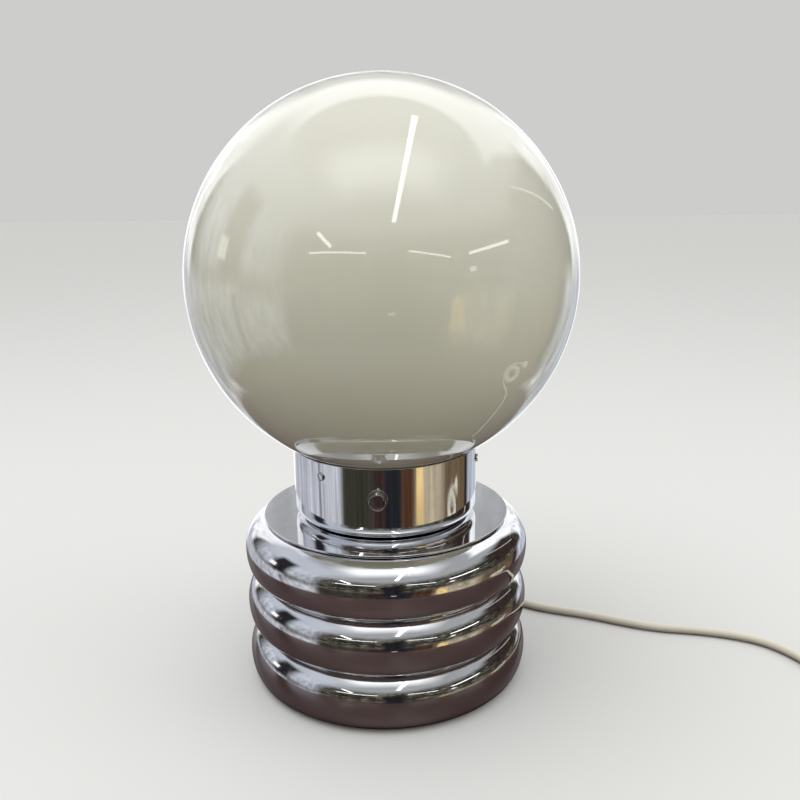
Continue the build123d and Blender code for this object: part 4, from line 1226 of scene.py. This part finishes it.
@dataclass
class Studio:
    """Pale floor, soft lights, and the cards and tubes that show in the chrome.

    A rise is the sine of an elevation: the two ends of each fade, from none to all of it.
    """

    backdrop: Colour = (0.61, 0.61, 0.60)
    floor_colour: Colour = (0.80, 0.80, 0.80)
    floor_half: float = 6.0
    floor_drop: float = 0.00005
    # Painted reflection and shade: the dark brown that mirrors and bounce light see on the floor near the
    # lamp, where the eye sees it pale.
    painted_reflection_ground: Colour = (0.060, 0.026, 0.022)
    painted_reflection_roughness: float = 0.32
    painted_reflection_radii: Point = (0.34 * 0.85, 0.34)
    overhead: Colour = (0.36, 0.36, 0.35)
    overhead_rise: Point = (0.80, 0.98)
    upper_tone: Colour = (0.42, 0.43, 0.44)
    shade_dark: Colour = (0.036, 0.033, 0.026)
    shade_light: Colour = (0.34, 0.32, 0.25)
    shade_size: float = 7.0
    shade_weight: float = 0.72
    shade_stretch: tuple[float, float, float] = (1.0, 1.0, 2.4)
    shade_range: Point = (0.50, 0.66)
    shade_rise: Point = (0.54, 0.38)
    ground: Colour = (0.16, 0.12, 0.10)
    ground_rise: Point = (0.02, -0.08)
    streak_size: float = 13.0
    streak_stretch: tuple[float, float, float] = (1.0, 1.0, 0.25)
    streak_range: Point = (0.34, 0.66)
    streak_levels: Point = (0.55, 1.35)
    streak_rise: Point = (0.60, 0.30)
    soft_low: Colour = (0.42, 0.415, 0.33)
    soft_high: Colour = (0.92, 0.92, 0.92)
    soft_rise: Point = (-0.2, 1.0)
    tube_edges: Point = (1.2, 0.8)
    tube_end_fade: float = 1.0
    lamp_target: tuple[float, float, float] = (0.0, 0.0, 0.15)
    softboxes: tuple[Softbox, ...] = (
        Softbox("overhead_softbox", (-0.5, -0.2, 1.7), 1.4, 9.0),
        Softbox("side_softbox", (1.5, -0.3, 0.9), 1.2, 4.0),
    )
    cards: tuple[Card, ...] = (
        Card((90.0, 16.7), 43.0, 43.0, (1.20, 1.21, 1.24), 3.0),
        Card((90.0, 27.0), 18.0, 11.0, (0.50, 0.51, 0.52), 8.0),
        Card((-88.0, 66.0), 26.0, 13.0, (1.30, 1.31, 1.33), 16.0),
        Card((178.0, 30.0), 34.0, 26.0, (0.62, 0.65, 0.72), 10.0),
        Card((150.0, -17.0), 34.0, 14.0, (0.56, 0.57, 0.63), 6.0),
        Card((-179.0, -17.0), 2.0, 12.0, (0.22, 0.22, 0.26), 2.0),
        Card((-160.0, -17.0), 15.0, 12.0, (0.62, 0.63, 0.68), 9.0),
        Card((-125.0, -17.0), 19.0, 13.0, (0.046, 0.045, 0.033), 5.0),
        Card((-97.0, -17.0), 9.0, 13.0, (0.042, 0.026, 0.024), 5.0),
        Card((-80.0, -17.0), 10.0, 13.0, (0.022, 0.023, 0.028), 4.0),
        Card((-60.0, -17.0), 10.0, 13.0, (0.085, 0.040, 0.022), 5.0),
        Card((-33.0, -17.0), 19.0, 13.0, (0.50, 0.42, 0.30), 9.0),
        Card((-48.0, -14.0), 4.0, 9.0, (1.00, 0.72, 0.30), 3.0),
        Card((8.0, -17.0), 19.0, 13.0, (0.16, 0.11, 0.065), 6.0),
        Card((31.0, -17.0), 5.0, 13.0, (0.03, 0.025, 0.025), 3.0),
        Card((52.0, -17.0), 17.0, 13.0, (0.58, 0.62, 0.70), 6.0),
        Card((-86.0, 2.0), 8.0, 15.0, (0.018, 0.018, 0.022), 5.0),
        Card((21.0, 18.0), 18.0, 15.0, (0.045, 0.030, 0.026), 7.0),
        Card((177.0, 17.0), 9.0, 17.0, (0.025, 0.022, 0.026), 6.0),
        Card((169.5, 10.0), 3.5, 4.0, (1.10, 1.10, 1.05), 1.5),
    )
    tubes: tuple[LightTube, ...] = (
        LightTube((49.6, 70.9), (-82.3, 35.9), 1.1, 4.5),
        LightTube((-128.1, 27.7), (-119.6, 21.9), 0.9, 3.5),
        LightTube((-130.6, 17.5), (-99.5, 19.2), 0.5, 2.6),
        LightTube((-74.5, 19.8), (-52.3, 15.0), 0.5, 2.6),
        LightTube((-40.0, 15.5), (-13.6, 16.4), 0.7, 3.0),
        LightTube((-41.0, 7.8), (-38.0, 7.8), 1.2, 1.5),
        LightTube((-87.0, -13.0), (-84.0, -13.0), 0.8, 0.8),
        LightTube((10.0, 33.0), (36.0, 14.0), 0.5, 0.8),
    )

    def floor(self) -> None:
        """Lay the pale floor. Mirrors and dull surfaces see it dark close by, and clear further out: a dark
        brown disc round the lamp, unseen by the eye, that paints a reflection into the chrome and paints
        shade on the lamp from below.
        """
        shader = Shader("studio_floor")
        shader.set(Base_Color=self.floor_colour, Roughness=0.9)
        # Painted reflection and shade: mirrors and bounce light see a dark brown, glossy disc here, and the
        # eye sees the pale floor.
        near = shader.add("ShaderNodeBsdfPrincipled")
        near.inputs["Base Color"].default_value = (*self.painted_reflection_ground, 1.0)
        near.inputs["Roughness"].default_value = self.painted_reflection_roughness
        clear = shader.add("ShaderNodeBsdfTransparent")
        reach = shader.add("ShaderNodeVectorMath", operation="LENGTH")
        shader.join(shader.place, reach.inputs[0])
        beyond = shader.remap(reach.outputs["Value"], *self.painted_reflection_radii, 0.0, 1.0)
        mirrored = shader.add("ShaderNodeMixShader")
        shader.join(beyond, mirrored.inputs[0])
        shader.join(near.outputs[0], mirrored.inputs[1])
        shader.join(clear.outputs[0], mirrored.inputs[2])
        whole = shader.add("ShaderNodeMixShader")
        path = shader.add("ShaderNodeLightPath")
        indirect = shader.add("ShaderNodeMath", operation="MAXIMUM")
        shader.join(path.outputs["Is Glossy Ray"], indirect.inputs[0])
        shader.join(path.outputs["Is Diffuse Ray"], indirect.inputs[1])
        shader.join(indirect.outputs[0], whole.inputs[0])
        shader.join(shader.surface.outputs[0], whole.inputs[1])
        shader.join(mirrored.outputs[0], whole.inputs[2])
        shader.join(whole.outputs[0], shader.tree.nodes["Material Output"].inputs["Surface"])
        work = bmesh.new()
        bmesh.ops.create_grid(work, x_segments=1, y_segments=1, size=self.floor_half)
        mesh = bpy.data.meshes.new("studio_floor")
        work.to_mesh(mesh)
        work.free()
        floor = new_object("studio_floor", mesh)
        floor.location.z = -self.floor_drop
        mesh.materials.append(shader.material)

    def world(self) -> None:
        """Light the scene: plain for the eye and for dull surfaces, with cards and tubes for the chrome."""
        world = bpy.data.worlds.new("studio")
        bpy.context.scene.world = world
        world.use_nodes = True
        world.node_tree.nodes.clear()
        shader = ShaderTree(world.node_tree, "Generated")
        rise = self.towards(shader, Vector((0, 0, 1)))
        upper = shader.remap(rise, *self.overhead_rise, 0.0, 1.0)
        mirrored = shader.blend(upper, self.upper_tone, self.overhead)
        patches = shader.noise(self.shade_size, detail=6.0, roughness=self.shade_weight,
                               stretch=self.shade_stretch)
        patches = shader.remap(patches, *self.shade_range, 0.0, 1.0)
        shade = shader.blend(patches, self.shade_dark, self.shade_light)
        mirrored = self.over(shader, shader.remap(rise, *self.shade_rise, 0.0, 1.0), mirrored, shade)
        mirrored = self.over(shader, shader.remap(rise, *self.ground_rise, 0.0, 1.0), mirrored, self.ground)
        for card in self.cards:
            mirrored = self.over(shader, self.card_mask(shader, card), mirrored, card.colour)
        mirrored = self.streaked(shader, mirrored, rise)
        for tube in self.tubes:
            bright = tuple(channel * tube.strength for channel in tube.colour)
            mirrored = self.over(shader, self.tube_mask(shader, tube), mirrored, bright)
        soft = shader.blend(shader.remap(rise, *self.soft_rise, 0.0, 1.0), self.soft_low, self.soft_high)
        path = shader.add("ShaderNodeLightPath")
        seen = self.over(shader, path.outputs["Is Glossy Ray"], soft, mirrored)
        seen = self.over(shader, path.outputs["Is Camera Ray"], seen, self.backdrop)
        sky = shader.add("ShaderNodeBackground")
        output = shader.add("ShaderNodeOutputWorld")
        shader.join(seen, sky.inputs["Color"])
        shader.join(sky.outputs[0], output.inputs["Surface"])

    def streaked(self, shader: ShaderTree, under: bpy.types.NodeSocket,
                 rise: bpy.types.NodeSocket) -> bpy.types.NodeSocket:
        """Break up the lower part of what the chrome mirrors with upright streaks."""
        streaks = shader.noise(self.streak_size, detail=5.0, roughness=0.7, stretch=self.streak_stretch)
        level = shader.remap(streaks, *self.streak_range, *self.streak_levels)
        low = shader.remap(rise, *self.streak_rise, 0.0, 1.0)
        node = shader.add("ShaderNodeMix", data_type="RGBA", blend_type="MULTIPLY", clamp_factor=True)
        shader.join(low, node.inputs["Factor"])
        shader.join(under, node.inputs["A"])
        shader.join(level, node.inputs["B"])
        return node.outputs["Result"]

    @staticmethod
    def over(shader: ShaderTree, mask: bpy.types.NodeSocket, under: bpy.types.NodeSocket,
             colour: bpy.types.NodeSocket | Colour) -> bpy.types.NodeSocket:
        """Lay a colour over another through a mask."""
        node = shader.add("ShaderNodeMix", data_type="RGBA", clamp_factor=True)
        shader.join(mask, node.inputs["Factor"])
        shader.join(under, node.inputs["A"])
        if isinstance(colour, bpy.types.NodeSocket):
            shader.join(colour, node.inputs["B"])
        else:
            node.inputs["B"].default_value = (*colour, 1.0)
        return node.outputs["Result"]

    @staticmethod
    def towards(shader: ShaderTree, direction: Vector) -> bpy.types.NodeSocket:
        """Cosine of the angle between what is looked at and a direction."""
        node = shader.add("ShaderNodeVectorMath", operation="DOT_PRODUCT")
        shader.join(shader.place, node.inputs[0])
        node.inputs[1].default_value = direction
        return node.outputs["Value"]

    def card_mask(self, shader: ShaderTree, card: Card) -> bpy.types.NodeSocket:
        """1 inside a card and 0 outside it, with soft edges."""
        middle = ray(*card.middle)
        across = spoke(card.middle[0] + 90, 1.0)
        upward = middle.cross(across) * -1
        masks = []
        for direction, half in ((across, card.half_width), (upward, card.half_height)):
            sideways = self.towards(shader, direction)
            size = shader.add("ShaderNodeMath", operation="ABSOLUTE")
            shader.join(sideways, size.inputs[0])
            reach = math.sin(math.radians(min(half, 89.0)))
            soft = math.sin(math.radians(card.edge))
            masks.append(shader.remap(size.outputs[0], reach + soft / 2, reach - soft / 2, 0.0, 1.0))
        masks.append(shader.remap(self.towards(shader, middle), 0.0, 0.02, 0.0, 1.0))
        return self.product(shader, masks)

    def tube_mask(self, shader: ShaderTree, tube: LightTube) -> bpy.types.NodeSocket:
        """1 on a tube and 0 off it, with soft edges."""
        start, end = ray(*tube.start), ray(*tube.end)
        normal = start.cross(end).normalized()
        middle = (start + end).normalized()
        size = shader.add("ShaderNodeMath", operation="ABSOLUTE")
        shader.join(self.towards(shader, normal), size.inputs[0])
        width = math.sin(math.radians(tube.half_width))
        half = start.angle(end) / 2
        soft = math.radians(self.tube_end_fade)
        outer, inner = self.tube_edges
        masks = [
            shader.remap(size.outputs[0], outer * width, inner * width, 0.0, 1.0),
            shader.remap(self.towards(shader, middle), math.cos(half + soft), math.cos(half), 0.0, 1.0),
        ]
        return self.product(shader, masks)

    @staticmethod
    def product(shader: ShaderTree, masks: Sequence[bpy.types.NodeSocket]) -> bpy.types.NodeSocket:
        """Multiply masks together."""
        result = masks[0]
        for mask in masks[1:]:
            node = shader.add("ShaderNodeMath", operation="MULTIPLY")
            shader.join(result, node.inputs[0])
            shader.join(mask, node.inputs[1])
            result = node.outputs[0]
        return result

    def lamps(self) -> None:
        """Hang the soft lamps, aimed at the lamp."""
        for box in self.softboxes:
            data = bpy.data.lights.new(box.name, "AREA")
            data.shape = "DISK"
            data.size = box.size
            data.energy = box.power
            light = bpy.data.objects.new(box.name, data)
            bpy.context.scene.collection.objects.link(light)
            light.location = box.place
            aim = Vector(self.lamp_target) - Vector(box.place)
            light.rotation_euler = aim.to_track_quat("-Z", "Y").to_euler()
            light.visible_glossy = False

    def build(self) -> None:
        """Set up the floor, the surroundings and the lamps."""
        self.floor()
        self.world()
        self.lamps()
        bpy.context.scene.view_settings.view_transform = "Standard"


def main() -> None:
    """Load the frame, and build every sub-assembly in order."""
    logging.basicConfig(level=logging.INFO, format="%(name)s: %(message)s")
    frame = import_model()
    PhotoCamera().place()
    paints = Paints()
    shop = Workshop(paints)
    InnerParts(paints).dress(frame["nodes"])
    SupplyCord(paints).build()
    lowest_ring = RingStack(shop).build()
    GlobeCup(shop).build()
    OpalGlobe(shop).build()
    CordEnds(shop).build(lowest_ring)
    Studio().build()


if __name__ == "__main__":
    main()
